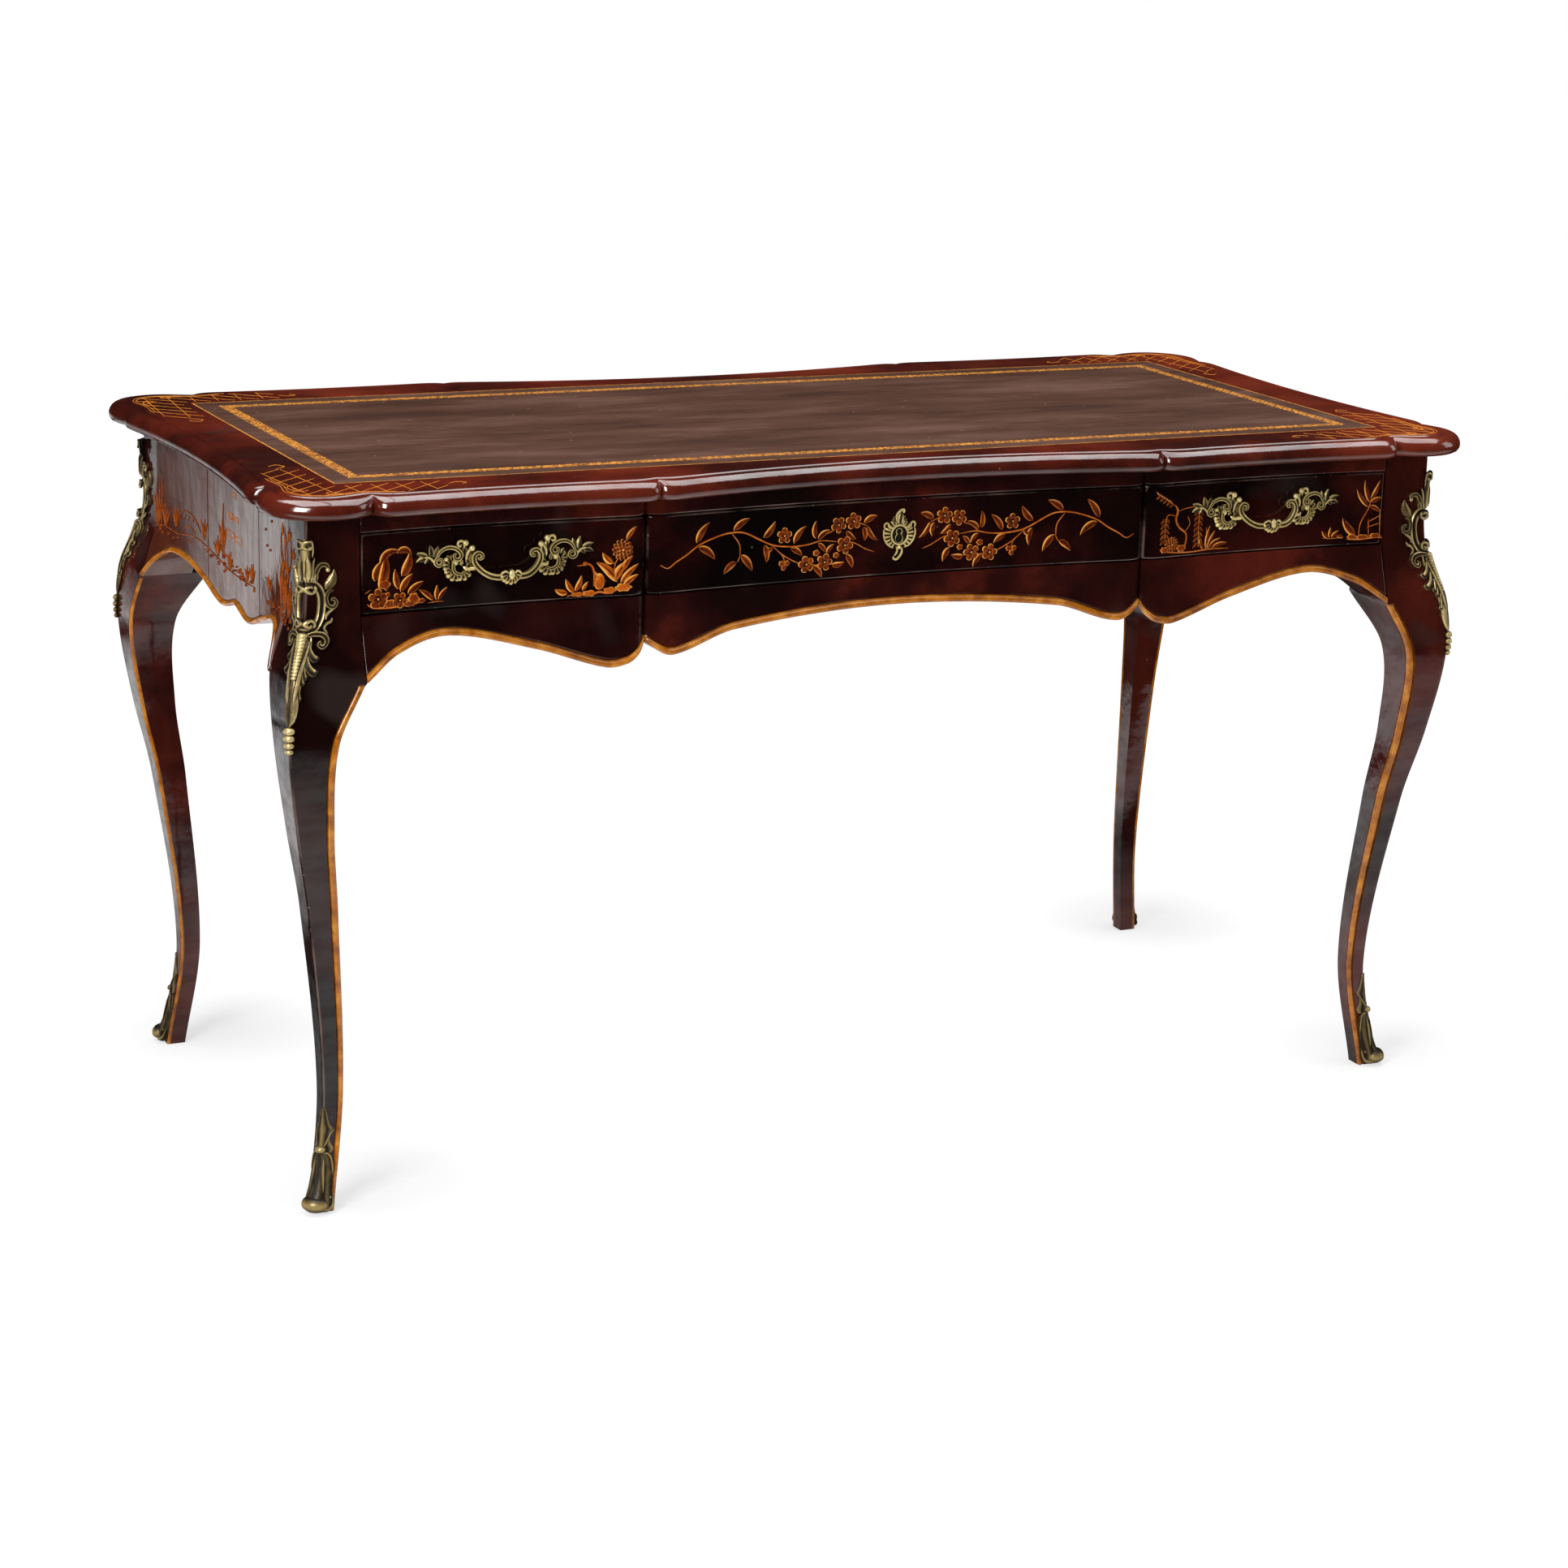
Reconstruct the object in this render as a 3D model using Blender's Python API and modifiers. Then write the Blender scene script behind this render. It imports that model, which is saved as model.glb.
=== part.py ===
"""A bureau plat: a flat writing desk with three frieze drawers on four cabriole legs.

Metres, +Z up, front towards -Y, origin on the floor under the middle of the desk.
"""

import math

import bmesh
import bpy
from mathutils import Matrix, Vector

# Clearances between pieces
SEAT_GAP = 0.0003
RUNNING_GAP = 0.0005
DRAWER_REVEAL = 0.0015
DRAWER_SIDE_PLAY = 0.0010

# Desk and leg frame, measured over the flat faces of the leg posts
DESK_HEIGHT = 0.770
FRAME_LENGTH = 1.344
FRAME_DEPTH = 0.604
POST_WIDTH = 0.0565

# Top board: outline, thickness and the leather let into it
TOP_THICKNESS = 0.022
TOP_OVERHANG = 0.043
TOP_ROLL = 0.0100
EAR_RADIUS = 0.062
EAR_FRONT_SPAN = 0.0630
EAR_SIDE_SPAN = 0.0570
TOP_CENTRE_HOLLOW = 0.036
TOP_BAY_HOLLOW = 0.007
TOP_SIDE_HOLLOW = 0.016
TOP_BREAK_NOTCH = 0.014
TOP_SHOULDER = 0.022
LEATHER_LENGTH = 1.2570
LEATHER_DEPTH = 0.5172
LEATHER_RECESS = 0.0014
LEATHER_THICKNESS = 0.0010

# Frieze: the breaks that part the three drawers, and the curve of its plan
BREAK_X = 0.3005
FRIEZE_CENTRE_HOLLOW = 0.0165
FRIEZE_BAY_HOLLOW = 0.0080
FRIEZE_BREAK_NOTCH = 0.0130
FRIEZE_SHOULDER = 0.022
FRIEZE_DEPTH = 0.040
SIDE_HOLLOW = 0.017
SIDE_DEPTH = 0.038
TOP_RAIL_HEIGHT = 0.0215
TOP_RAIL_DEPTH = 0.066
DRAWER_OPENING = 0.0855
FLARE_SPAN = 0.110

# Shaped lower edges: how far each point lies below the drawers
BREAK_CUSP_DROP = 0.051
BAY_LOBE_DROP = 0.074
BAY_RISE_DROP = 0.050
BAY_CROWN_DROP = 0.028
BAY_HAUNCH_DROP = 0.041
CENTRE_LOBE_DROP = 0.066
CENTRE_RISE_DROP = 0.045
CENTRE_CROWN_DROP = 0.032
SIDE_CUSP_DROP = 0.049
SIDE_LOBE_DROP = 0.059
SIDE_RISE_DROP = 0.043
SIDE_CROWN_DROP = 0.028
SIDE_HAUNCH_DROP = 0.043

# And where it lies along the edge: from the break, from the post, from the side's middle
BAY_LOBE_FROM_BREAK = 0.045
BAY_RISE_FROM_BREAK = 0.120
BAY_CROWN_FROM_POST = 0.096
BAY_HAUNCH_FROM_POST = 0.037
CENTRE_LOBE_FROM_BREAK = 0.030
CENTRE_RISE_FROM_BREAK = 0.105
SIDE_LOBE_FROM_CUSP = 0.050
SIDE_RISE_FROM_CUSP = 0.110
SIDE_CROWN_FROM_POST = 0.056
SIDE_HAUNCH_FROM_POST = 0.020

# Cabriole leg: at each point, how far the outer faces stand past the post, and the square's
# width. The foot and ankle are set from the floor, the rest by their drop below the drawers.
FOOT_REACH = -0.0070
FOOT_WIDTH = 0.0215
ANKLE_HEIGHT = 0.130
ANKLE_REACH = -0.0216
ANKLE_WIDTH = 0.0226
CALF_DROP = 0.311
CALF_REACH = -0.0010
CALF_WIDTH = 0.0324
SHIN_DROP = 0.221
SHIN_REACH = 0.0158
SHIN_WIDTH = 0.0403
KNEE_DROP = 0.126
KNEE_REACH = 0.0277
KNEE_WIDTH = 0.0540
HIP_DROP = 0.065
HIP_REACH = 0.0216
SHOULDER_DROP = 0.001
SHOULDER_REACH = 0.0035

# Inside the case
DIVIDER_THICKNESS = 0.018
DIVIDER_FOOT = 0.019
RUNNER_WIDTH = 0.016
RUNNER_HEIGHT = 0.018
KICKER_WIDTH = 0.024
KICKER_DROP = 0.0060

# Drawers
DRAWER_SIDE_HEIGHT = 0.072
DRAWER_SIDE_THICKNESS = 0.010
DRAWER_BACK_DROP = 0.004
DRAWER_BOTTOM_THICKNESS = 0.005
DRAWER_BOTTOM_RISE = 0.008
DRAWER_GROOVE = 0.005
DRAWER_STOP_GAP = 0.0005

# Drawer handles: one casting of two end plates and a hanging grip
HANDLE_RISE = 0.049
HANDLE_BOLT_SPREAD = 0.110
PLATE_INNER = 0.034
PLATE_LENGTH = 0.063
PLATE_ABOVE = 0.023
PLATE_BELOW = 0.021
PLATE_THICKNESS = 0.005
GRIP_RADIUS = 0.0042
GRIP_STANDOFF = 0.014
GRIP_DROP = 0.024
GRIP_SHELL_RADIUS = 0.0085
BOSS_RADIUS = 0.0062
BOSS_PROUD = 0.003
HANDLE_BOLT_RADIUS = 0.0020
HANDLE_BOLT_BITE = 0.0060
HANDLE_BOLT_HEAD_RADIUS = 0.0048
HANDLE_BOLT_HEAD_HEIGHT = 0.0026

# Lock of the middle drawer
ESCUTCHEON_RISE = 0.0453
ESCUTCHEON_HEIGHT = 0.0565
ESCUTCHEON_WIDTH = 0.0375
ESCUTCHEON_THICKNESS = 0.0030
KEYHOLE_RISE = 0.0432
KEYHOLE_WIDTH = 0.0038
KEYHOLE_HEIGHT = 0.0150
LOCK_WIDTH = 0.056
LOCK_HEIGHT = 0.050
LOCK_DEPTH = 0.012
BOLT_WIDTH = 0.022
BOLT_DEPTH = 0.006
BOLT_LENGTH = 0.020
BOLT_TRAVEL = 0.008

# Corner mounts on the knees and shoes on the feet
CHUTE_BELOW_TOP = 0.024
CHUTE_LENGTH = 0.217
CHUTE_THICKNESS = 0.0045
CHUTE_WIDTH = 0.038
CHUTE_WINDOW_DOWN = 0.0705
CHUTE_WINDOW_HEIGHT = 0.031
CHUTE_WINDOW_WIDTH = 0.017
SABOT_LIFT = 0.003
SABOT_LENGTH = 0.108
SABOT_THICKNESS = 0.0035
SABOT_TOE = 0.0100
SABOT_TOE_LENGTH = 0.032

# How finely curves are stepped
SHOULDER_STEPS = 4
CENTRE_STEPS = 14
BAY_STEPS = 12
TOP_BAY_STEPS = 6
SIDE_STEPS = 24
TOP_SIDE_STEPS = 10
EAR_STEPS = 12
LEG_STEPS = 34
POST_STEPS = 9
SKIRT_STEPS = 4
GRIP_STEPS = 16
ESCUTCHEON_STEPS = 16
ROLL_STEPS = 2
ROUND_SIDES = 16
BOLT_SIDES = 12
SHELL_SIDES = 14
SHELL_RINGS = 9
WELD = 0.00001
TINY = 1e-6

# Derived places
HALF_X = FRAME_LENGTH / 2
HALF_Y = FRAME_DEPTH / 2
POST_X = HALF_X - POST_WIDTH
POST_Y = HALF_Y - POST_WIDTH
UNDER_TOP = DESK_HEIGHT - TOP_THICKNESS
DRAWER_HIGH = UNDER_TOP - TOP_RAIL_HEIGHT
DRAWER_LOW = DRAWER_HIGH - DRAWER_OPENING
FRIEZE_BACK = HALF_Y - FRIEZE_DEPTH
RAIL_BACK = HALF_Y - TOP_RAIL_DEPTH
SIDE_BACK = HALF_X - SIDE_DEPTH
BAY_X = (BREAK_X + POST_X) / 2
CALF_Z = DRAWER_LOW - CALF_DROP
SHIN_Z = DRAWER_LOW - SHIN_DROP
KNEE_Z = DRAWER_LOW - KNEE_DROP
HIP_Z = DRAWER_LOW - HIP_DROP
SHOULDER_Z = DRAWER_LOW - SHOULDER_DROP
CHUTE_TOP_Z = UNDER_TOP - CHUTE_BELOW_TOP
CHUTE_BOTTOM_Z = CHUTE_TOP_Z - CHUTE_LENGTH
SABOT_TOP_Z = SABOT_LIFT + SABOT_LENGTH
HANDLE_Z = DRAWER_LOW + HANDLE_RISE
ESCUTCHEON_Z = DRAWER_LOW + ESCUTCHEON_RISE
KEYHOLE_Z = DRAWER_LOW + KEYHOLE_RISE

FRONT = -1
BACK = 1


# Collections and materials

for old in list(bpy.data.objects):
    bpy.data.objects.remove(old, do_unlink=True)

desk = bpy.data.collections.new("bureau_plat")
cutters = bpy.data.collections.new("bureau_plat_cutters")
bpy.context.scene.collection.children.link(desk)
bpy.context.scene.collection.children.link(cutters)


def material(name, colour, roughness, metallic=0.0):
    made = bpy.data.materials.new(name)
    made.use_nodes = True
    shader = made.node_tree.nodes["Principled BSDF"]
    shader.inputs["Base Color"].default_value = (*colour, 1.0)
    shader.inputs["Roughness"].default_value = roughness
    shader.inputs["Metallic"].default_value = metallic
    return made


LACQUER = material("dark_lacquer", (0.030, 0.009, 0.007), 0.25)
TOP_LACQUER = material("red_brown_lacquer", (0.085, 0.018, 0.010), 0.28)
LEATHER = material("brown_leather", (0.050, 0.028, 0.020), 0.45)
OAK = material("plain_oak", (0.32, 0.20, 0.10), 0.65)
BRONZE = material("gilt_bronze", (0.45, 0.33, 0.12), 0.35, 1.0)
STEEL = material("steel", (0.30, 0.30, 0.30), 0.40, 1.0)


# Modelling helpers

def add(name, mesh, finish=None):
    piece = bpy.data.objects.new(name, mesh)
    desk.objects.link(piece)
    if finish:
        mesh.materials.append(finish)
    return piece


def mesh_from(name, shape):
    bmesh.ops.recalc_face_normals(shape, faces=shape.faces)
    mesh = bpy.data.meshes.new(name)
    shape.to_mesh(mesh)
    shape.free()
    return mesh


def box(name, low, high, finish=None):
    """A block between two corners, with its origin at its middle."""
    low, high = Vector(low), Vector(high)
    shape = bmesh.new()
    bmesh.ops.create_cube(shape, size=1.0)
    bmesh.ops.scale(shape, vec=high - low, verts=shape.verts)
    piece = add(name, mesh_from(name, shape), finish)
    piece.location = (low + high) / 2
    return piece


def cylinder(name, radius, start, end, finish=None):
    """A round rod between two points."""
    start, end = Vector(start), Vector(end)
    shape = bmesh.new()
    bmesh.ops.create_cone(shape, cap_ends=True, segments=ROUND_SIDES, radius1=radius, radius2=radius,
                          depth=(end - start).length)
    turn = (end - start).to_track_quat("Z", "Y").to_matrix()
    bmesh.ops.rotate(shape, matrix=turn, verts=shape.verts)
    piece = add(name, mesh_from(name, shape), finish)
    piece.location = (start + end) / 2
    return piece


def loft(name, rings, finish=None):
    """A closed solid through rings of as many points each."""
    shape = bmesh.new()
    loops = [[shape.verts.new(point) for point in ring] for ring in rings]
    for near, far in zip(loops, loops[1:]):
        for i in range(len(near)):
            j = (i + 1) % len(near)
            shape.faces.new((near[i], near[j], far[j], far[i]))
    shape.faces.new(loops[0])
    shape.faces.new(list(reversed(loops[-1])))
    return add(name, mesh_from(name, shape), finish)


def curve_to_mesh(piece, finish=None):
    """The curve's evaluated mesh, with its caps welded, in place of the curve."""
    evaluated = piece.evaluated_get(bpy.context.evaluated_depsgraph_get())
    mesh = bpy.data.meshes.new_from_object(evaluated)
    shape = bmesh.new()
    shape.from_mesh(mesh)
    bmesh.ops.remove_doubles(shape, verts=shape.verts, dist=WELD)
    bmesh.ops.recalc_face_normals(shape, faces=shape.faces)
    shape.to_mesh(mesh)
    shape.free()
    name = piece.name
    place = piece.matrix_world.copy()
    bpy.data.objects.remove(piece, do_unlink=True)
    made = add(name, mesh, finish)
    made.matrix_world = place
    return made


def board(name, outline, thickness, place, finish=None, roll=0.0):
    """A flat outline with a thickness, its middle plane laid by the matrix."""
    curve = bpy.data.curves.new(name, "CURVE")
    curve.dimensions = "2D"
    curve.fill_mode = "BOTH"
    curve.extrude = thickness / 2 - roll
    curve.bevel_depth = roll
    curve.bevel_resolution = ROLL_STEPS
    curve.offset = -roll
    spline = curve.splines.new("POLY")
    spline.points.add(len(outline) - 1)
    for point, (across, up) in zip(spline.points, outline):
        point.co = (across, up, 0.0, 1.0)
    spline.use_cyclic_u = True
    piece = bpy.data.objects.new(name, curve)
    desk.objects.link(piece)
    piece.matrix_world = place
    bpy.context.view_layer.update()
    return curve_to_mesh(piece, finish)


def tube(name, points, radius, finish=None):
    """A round bar through points."""
    curve = bpy.data.curves.new(name, "CURVE")
    curve.dimensions = "3D"
    curve.bevel_depth = radius
    curve.bevel_resolution = ROLL_STEPS
    curve.use_fill_caps = True
    spline = curve.splines.new("POLY")
    spline.points.add(len(points) - 1)
    for point, place in zip(spline.points, points):
        point.co = (*place, 1.0)
    piece = bpy.data.objects.new(name, curve)
    desk.objects.link(piece)
    bpy.context.view_layer.update()
    return curve_to_mesh(piece, finish)


def combine(piece, tool, operation, solver="EXACT"):
    """A Boolean of the piece with a tool, which then waits among the cutters."""
    step = piece.modifiers.new(tool.name, "BOOLEAN")
    step.operation = operation
    step.solver = solver
    step.object = tool
    desk.objects.unlink(tool)
    cutters.objects.link(tool)
    tool.hide_render = True
    tool.display_type = "WIRE"


def cut_too(piece, tool):
    """Cuts a second piece with a tool that already waits among the cutters."""
    step = piece.modifiers.new(tool.name, "BOOLEAN")
    step.operation = "DIFFERENCE"
    step.object = tool


def upright(y):
    """Lays an outline's (across, up) on the X-Z plane at this y."""
    return Matrix.Translation((0.0, y, 0.0)) @ Matrix.Rotation(math.pi / 2, 4, "X")


def flat(z):
    return Matrix.Translation((0.0, 0.0, z))


# Curves of the plan and of the lower edges

def smooth_curve(*points):
    """A cubic through (position, value) points, its slopes taken from the neighbours."""
    points = sorted(points)
    slopes = []
    for i in range(len(points)):
        before = points[max(i - 1, 0)]
        after = points[min(i + 1, len(points) - 1)]
        slopes.append((after[1] - before[1]) / (after[0] - before[0]))

    def value(t):
        t = min(max(t, points[0][0]), points[-1][0])
        i = next(k for k in range(len(points) - 1) if t <= points[k + 1][0])
        (t0, v0), (t1, v1) = points[i], points[i + 1]
        span = t1 - t0
        u = (t - t0) / span
        rise = v0 * (1 + 2 * u) * (1 - u) ** 2 + v1 * u * u * (3 - 2 * u)
        return rise + span * u * (1 - u) * (slopes[i] * (1 - u) - slopes[i + 1] * u)

    return value


def shoulder(distance, drop, width):
    """How far a rounded shoulder falls, this far from the notch that it falls into."""
    if distance >= width:
        return 0.0
    return drop * (1 - math.sqrt(1 - (1 - distance / width) ** 2))


def hollow(t, start, end, depth):
    """A shallow curve sunk between two ends."""
    middle, half = (start + end) / 2, (end - start) / 2
    return depth * (1 - ((t - middle) / half) ** 2)


def spread(start, end, steps, width):
    """Positions from start to end, closer together in the shoulders at both ends."""
    quarter = math.pi / 2 / SHOULDER_STEPS
    close = [width * (1 - math.cos(quarter * i)) for i in range(SHOULDER_STEPS + 1)]
    run = end - start
    inner = [width + (run - 2 * width) * i / steps for i in range(1, steps)]
    return [start + d for d in close + inner + [run - d for d in reversed(close)]]


def mirrored(positions):
    """The positions to both sides of the middle, each once, in order."""
    both = sorted(positions + [-p for p in positions])
    return [p for p, after in zip(both, both[1:] + [math.inf]) if after - p > TINY]


def frieze_front(x):
    """Distance of the frieze's face from the middle of the desk, at this x."""
    x = abs(x)
    notch = shoulder(abs(BREAK_X - x), FRIEZE_BREAK_NOTCH, FRIEZE_SHOULDER)
    if x <= BREAK_X:
        return HALF_Y - hollow(x, -BREAK_X, BREAK_X, FRIEZE_CENTRE_HOLLOW) - notch
    return HALF_Y - hollow(x, BREAK_X, POST_X, FRIEZE_BAY_HOLLOW) - notch


def side_face(y):
    return HALF_X - hollow(y, -POST_Y, POST_Y, SIDE_HOLLOW)


def lower_edge(*points):
    """A shaped lower edge through (position, drop below the drawers) points."""
    return smooth_curve(*((at, DRAWER_LOW - drop) for at, drop in points))


centre_edge = lower_edge(
    (BREAK_X, BREAK_CUSP_DROP),
    (BREAK_X - CENTRE_LOBE_FROM_BREAK, CENTRE_LOBE_DROP),
    (BREAK_X - CENTRE_RISE_FROM_BREAK, CENTRE_RISE_DROP),
    (0.0, CENTRE_CROWN_DROP),
    (CENTRE_RISE_FROM_BREAK - BREAK_X, CENTRE_RISE_DROP))
bay_edge = lower_edge(
    (BREAK_X, BREAK_CUSP_DROP),
    (BREAK_X + BAY_LOBE_FROM_BREAK, BAY_LOBE_DROP),
    (BREAK_X + BAY_RISE_FROM_BREAK, BAY_RISE_DROP),
    (POST_X - BAY_CROWN_FROM_POST, BAY_CROWN_DROP),
    (POST_X - BAY_HAUNCH_FROM_POST, BAY_HAUNCH_DROP),
    (POST_X, HIP_DROP))
side_edge_half = lower_edge(
    (0.0, SIDE_CUSP_DROP),
    (SIDE_LOBE_FROM_CUSP, SIDE_LOBE_DROP),
    (SIDE_RISE_FROM_CUSP, SIDE_RISE_DROP),
    (POST_Y - SIDE_CROWN_FROM_POST, SIDE_CROWN_DROP),
    (POST_Y - SIDE_HAUNCH_FROM_POST, SIDE_HAUNCH_DROP),
    (POST_Y, HIP_DROP))


def front_edge(x):
    return centre_edge(abs(x)) if abs(x) <= BREAK_X else bay_edge(abs(x))


def side_edge(y):
    return side_edge_half(abs(y))


leg_reach = smooth_curve(
    (0.0, FOOT_REACH), (ANKLE_HEIGHT, ANKLE_REACH), (CALF_Z, CALF_REACH), (SHIN_Z, SHIN_REACH),
    (KNEE_Z, KNEE_REACH), (HIP_Z, HIP_REACH), (SHOULDER_Z, SHOULDER_REACH), (UNDER_TOP, 0.0))
leg_inner = smooth_curve(
    (0.0, FOOT_REACH - FOOT_WIDTH), (ANKLE_HEIGHT, ANKLE_REACH - ANKLE_WIDTH),
    (CALF_Z, CALF_REACH - CALF_WIDTH), (SHIN_Z, SHIN_REACH - SHIN_WIDTH),
    (KNEE_Z, KNEE_REACH - KNEE_WIDTH), (HIP_Z, -POST_WIDTH))

LEG_LEVELS = sorted(
    [HIP_Z * i / LEG_STEPS for i in range(LEG_STEPS)]
    + [HIP_Z + (UNDER_TOP - HIP_Z) * i / POST_STEPS for i in range(POST_STEPS)]
    + [UNDER_TOP - SEAT_GAP])


def flare(along, post, z):
    """How far a skirt swells out to meet the leg, this far along towards the post."""
    near = min(max((abs(along) - post + FLARE_SPAN) / FLARE_SPAN, 0.0), 1.0)
    return leg_reach(z) * near * near * (3 - 2 * near)


# Top board with its leather

def top_outline():
    """The moulded edge, anticlockwise: notched at the breaks and beside each ear."""
    line_x, line_y = HALF_X + TOP_OVERHANG, HALF_Y + TOP_OVERHANG
    ear_x, ear_y = HALF_X - EAR_FRONT_SPAN, HALF_Y - EAR_SIDE_SPAN
    middle_x, middle_y = line_x - EAR_RADIUS, line_y - EAR_RADIUS
    first = math.acos((ear_x - middle_x) / EAR_RADIUS)
    last = math.asin((ear_y - middle_y) / EAR_RADIUS)
    front_drop = EAR_RADIUS * (1 - math.sin(first))
    side_drop = EAR_RADIUS * (1 - math.cos(last))

    def front(x):
        notch = shoulder(abs(BREAK_X - x), TOP_BREAK_NOTCH, TOP_SHOULDER)
        if x <= BREAK_X:
            return line_y - hollow(x, -BREAK_X, BREAK_X, TOP_CENTRE_HOLLOW) - notch
        sunk = hollow(x, BREAK_X, ear_x, TOP_BAY_HOLLOW)
        return line_y - sunk - notch - shoulder(ear_x - x, front_drop, TOP_SHOULDER)

    def side(y):
        sunk = hollow(y, -ear_y, ear_y, TOP_SIDE_HOLLOW)
        return line_x - sunk - shoulder(ear_y - y, side_drop, TOP_SHOULDER)

    centre = [x for x in spread(-BREAK_X, BREAK_X, CENTRE_STEPS, TOP_SHOULDER) if x > -TINY]
    bay = spread(BREAK_X, ear_x, TOP_BAY_STEPS, TOP_SHOULDER)
    turn = [first + (last - first) * i / EAR_STEPS for i in range(1, EAR_STEPS)]
    ear = [(middle_x + EAR_RADIUS * math.cos(a), middle_y + EAR_RADIUS * math.sin(a)) for a in turn]
    edge = [y for y in spread(-ear_y, ear_y, TOP_SIDE_STEPS, TOP_SHOULDER) if y > -TINY]
    quarter = [(x, front(x)) for x in centre[:-1] + bay]
    quarter += ear
    quarter += [(side(y), y) for y in reversed(edge)]
    right = quarter + [(x, -y) for x, y in reversed(quarter) if y > TINY]
    left = [(-x, y) for x, y in reversed(right) if x > TINY]
    return right + left


top = board("top_board", top_outline(), TOP_THICKNESS, flat(DESK_HEIGHT - TOP_THICKNESS / 2),
            TOP_LACQUER, TOP_ROLL)
leather_x, leather_y = LEATHER_LENGTH / 2, LEATHER_DEPTH / 2
recess_z = DESK_HEIGHT - LEATHER_RECESS
recess = box("leather_recess", (-leather_x, -leather_y, recess_z),
             (leather_x, leather_y, DESK_HEIGHT + LEATHER_RECESS))
combine(top, recess, "DIFFERENCE")
box("leather_panel", (SEAT_GAP - leather_x, SEAT_GAP - leather_y, recess_z + SEAT_GAP),
    (leather_x - SEAT_GAP, leather_y - SEAT_GAP, recess_z + SEAT_GAP + LEATHER_THICKNESS), LEATHER)


# Legs: each sawn to one profile on two faces, its post running up to the top

def leg_section(z):
    """Outer and inner corners of the square section, from the middle of the desk."""
    outer = leg_reach(z)
    inner = leg_inner(z)
    return HALF_X + outer, HALF_Y + outer, HALF_X + inner, HALF_Y + inner


def leg(name, side, end):
    rings = []
    for z in LEG_LEVELS:
        outer_x, outer_y, inner_x, inner_y = leg_section(z)
        corners = (outer_x, outer_y), (inner_x, outer_y), (inner_x, inner_y), (outer_x, inner_y)
        rings.append([(side * x, end * y, z) for x, y in corners])
    return loft(name, rings, LACQUER)


# Corner mounts and foot shoes: cast sheaths that wrap the outer corner of a leg

def sheath(name, side, end, levels, wing, cover):
    """A two-winged sheath; wing(z) is each wing's width, cover(z) its thickness."""
    rings = []
    for z in levels:
        x, y = leg_section(z)[:2]
        far, thick = wing(z), cover(z)
        corners = ((x - far, y + SEAT_GAP), (x - far, y + thick), (x + thick, y + thick),
                   (x + thick, y - far), (x + SEAT_GAP, y - far), (x + SEAT_GAP, y + SEAT_GAP))
        rings.append([(side * px, end * py, z) for px, py in corners])
    return loft(name, rings, BRONZE)


def levels_between(low, high):
    """The leg's own levels between two heights, so that a sheath's facets match the leg's."""
    return [low] + [z for z in LEG_LEVELS if low + SEAT_GAP < z < high - SEAT_GAP] + [high]


# Each wing as a share of its full width, from the bottom (0) to the top (1) of the mount:
# the chute has a tail of beads, a leaf, a waist, an open cartouche and a scroll
chute_shape = smooth_curve((0.0, 0.10), (0.14, 0.12), (0.26, 0.30), (0.40, 0.58), (0.50, 0.55),
                           (0.68, 1.00), (0.82, 0.80), (0.90, 0.36), (1.0, 0.22))
sabot_shape = smooth_curve((0.0, 0.80), (0.35, 0.62), (0.60, 0.40), (1.0, 0.12))


def chute_wing(z):
    return CHUTE_WIDTH * chute_shape((z - CHUTE_BOTTOM_Z) / CHUTE_LENGTH)


def chute_cover(z):
    return CHUTE_THICKNESS


def sabot_wing(z):
    """The shoe wraps most of the foot and runs up to a pointed leaf."""
    return (leg_reach(z) - leg_inner(z)) * sabot_shape((z - SABOT_LIFT) / SABOT_LENGTH)


def sabot_cover(z):
    toe = max(0.0, 1 - ((z - SABOT_LIFT) / SABOT_TOE_LENGTH) ** 2)
    return SABOT_THICKNESS + (SABOT_TOE - SABOT_THICKNESS) * toe


def window(name, side, end):
    """An oval prism along the corner's diagonal, for the opening in a chute's cartouche."""
    z = CHUTE_TOP_Z - CHUTE_WINDOW_DOWN
    x, y = leg_section(z)[:2]
    reach = CHUTE_WIDTH
    oval = cylinder(name, CHUTE_WINDOW_HEIGHT / 2, (side * (x - reach), end * (y - reach), z),
                    (side * (x + reach), end * (y + reach), z))
    squeeze = CHUTE_WINDOW_WIDTH / CHUTE_WINDOW_HEIGHT
    across = Vector((side, -end, 0.0)).normalized()
    oval.data.transform(Matrix.Scale(squeeze, 4, across))
    return oval


for end, end_name in ((FRONT, "front"), (BACK, "back")):
    for side, side_name in ((-1, "left"), (1, "right")):
        corner = f"{end_name}_{side_name}"
        leg(f"leg_{corner}", side, end)
        chute = sheath(f"chute_{corner}", side, end, levels_between(CHUTE_BOTTOM_Z, CHUTE_TOP_Z),
                       chute_wing, chute_cover)
        combine(chute, window(f"chute_window_{corner}", side, end), "DIFFERENCE")
        sheath(f"sabot_{corner}", side, end, levels_between(SABOT_LIFT, SABOT_TOP_Z),
               sabot_wing, sabot_cover)


# Frieze: rails, shaped skirts and side panels between the posts

def frieze_positions(start, end):
    """Positions along the frieze from start to end, with the breaks among them."""
    whole = mirrored(spread(-BREAK_X, BREAK_X, CENTRE_STEPS, FRIEZE_SHOULDER)
                     + spread(BREAK_X, POST_X, BAY_STEPS, FRIEZE_SHOULDER))
    return [start] + [x for x in whole if start + SEAT_GAP < x < end - SEAT_GAP] + [end]


def frieze_outline(start, end, facing, back):
    """Plan of a frieze piece: the curved face and a straight back."""
    face = [(x, facing * frieze_front(x)) for x in frieze_positions(start, end)]
    return face + [(end, facing * back), (start, facing * back)]


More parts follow.
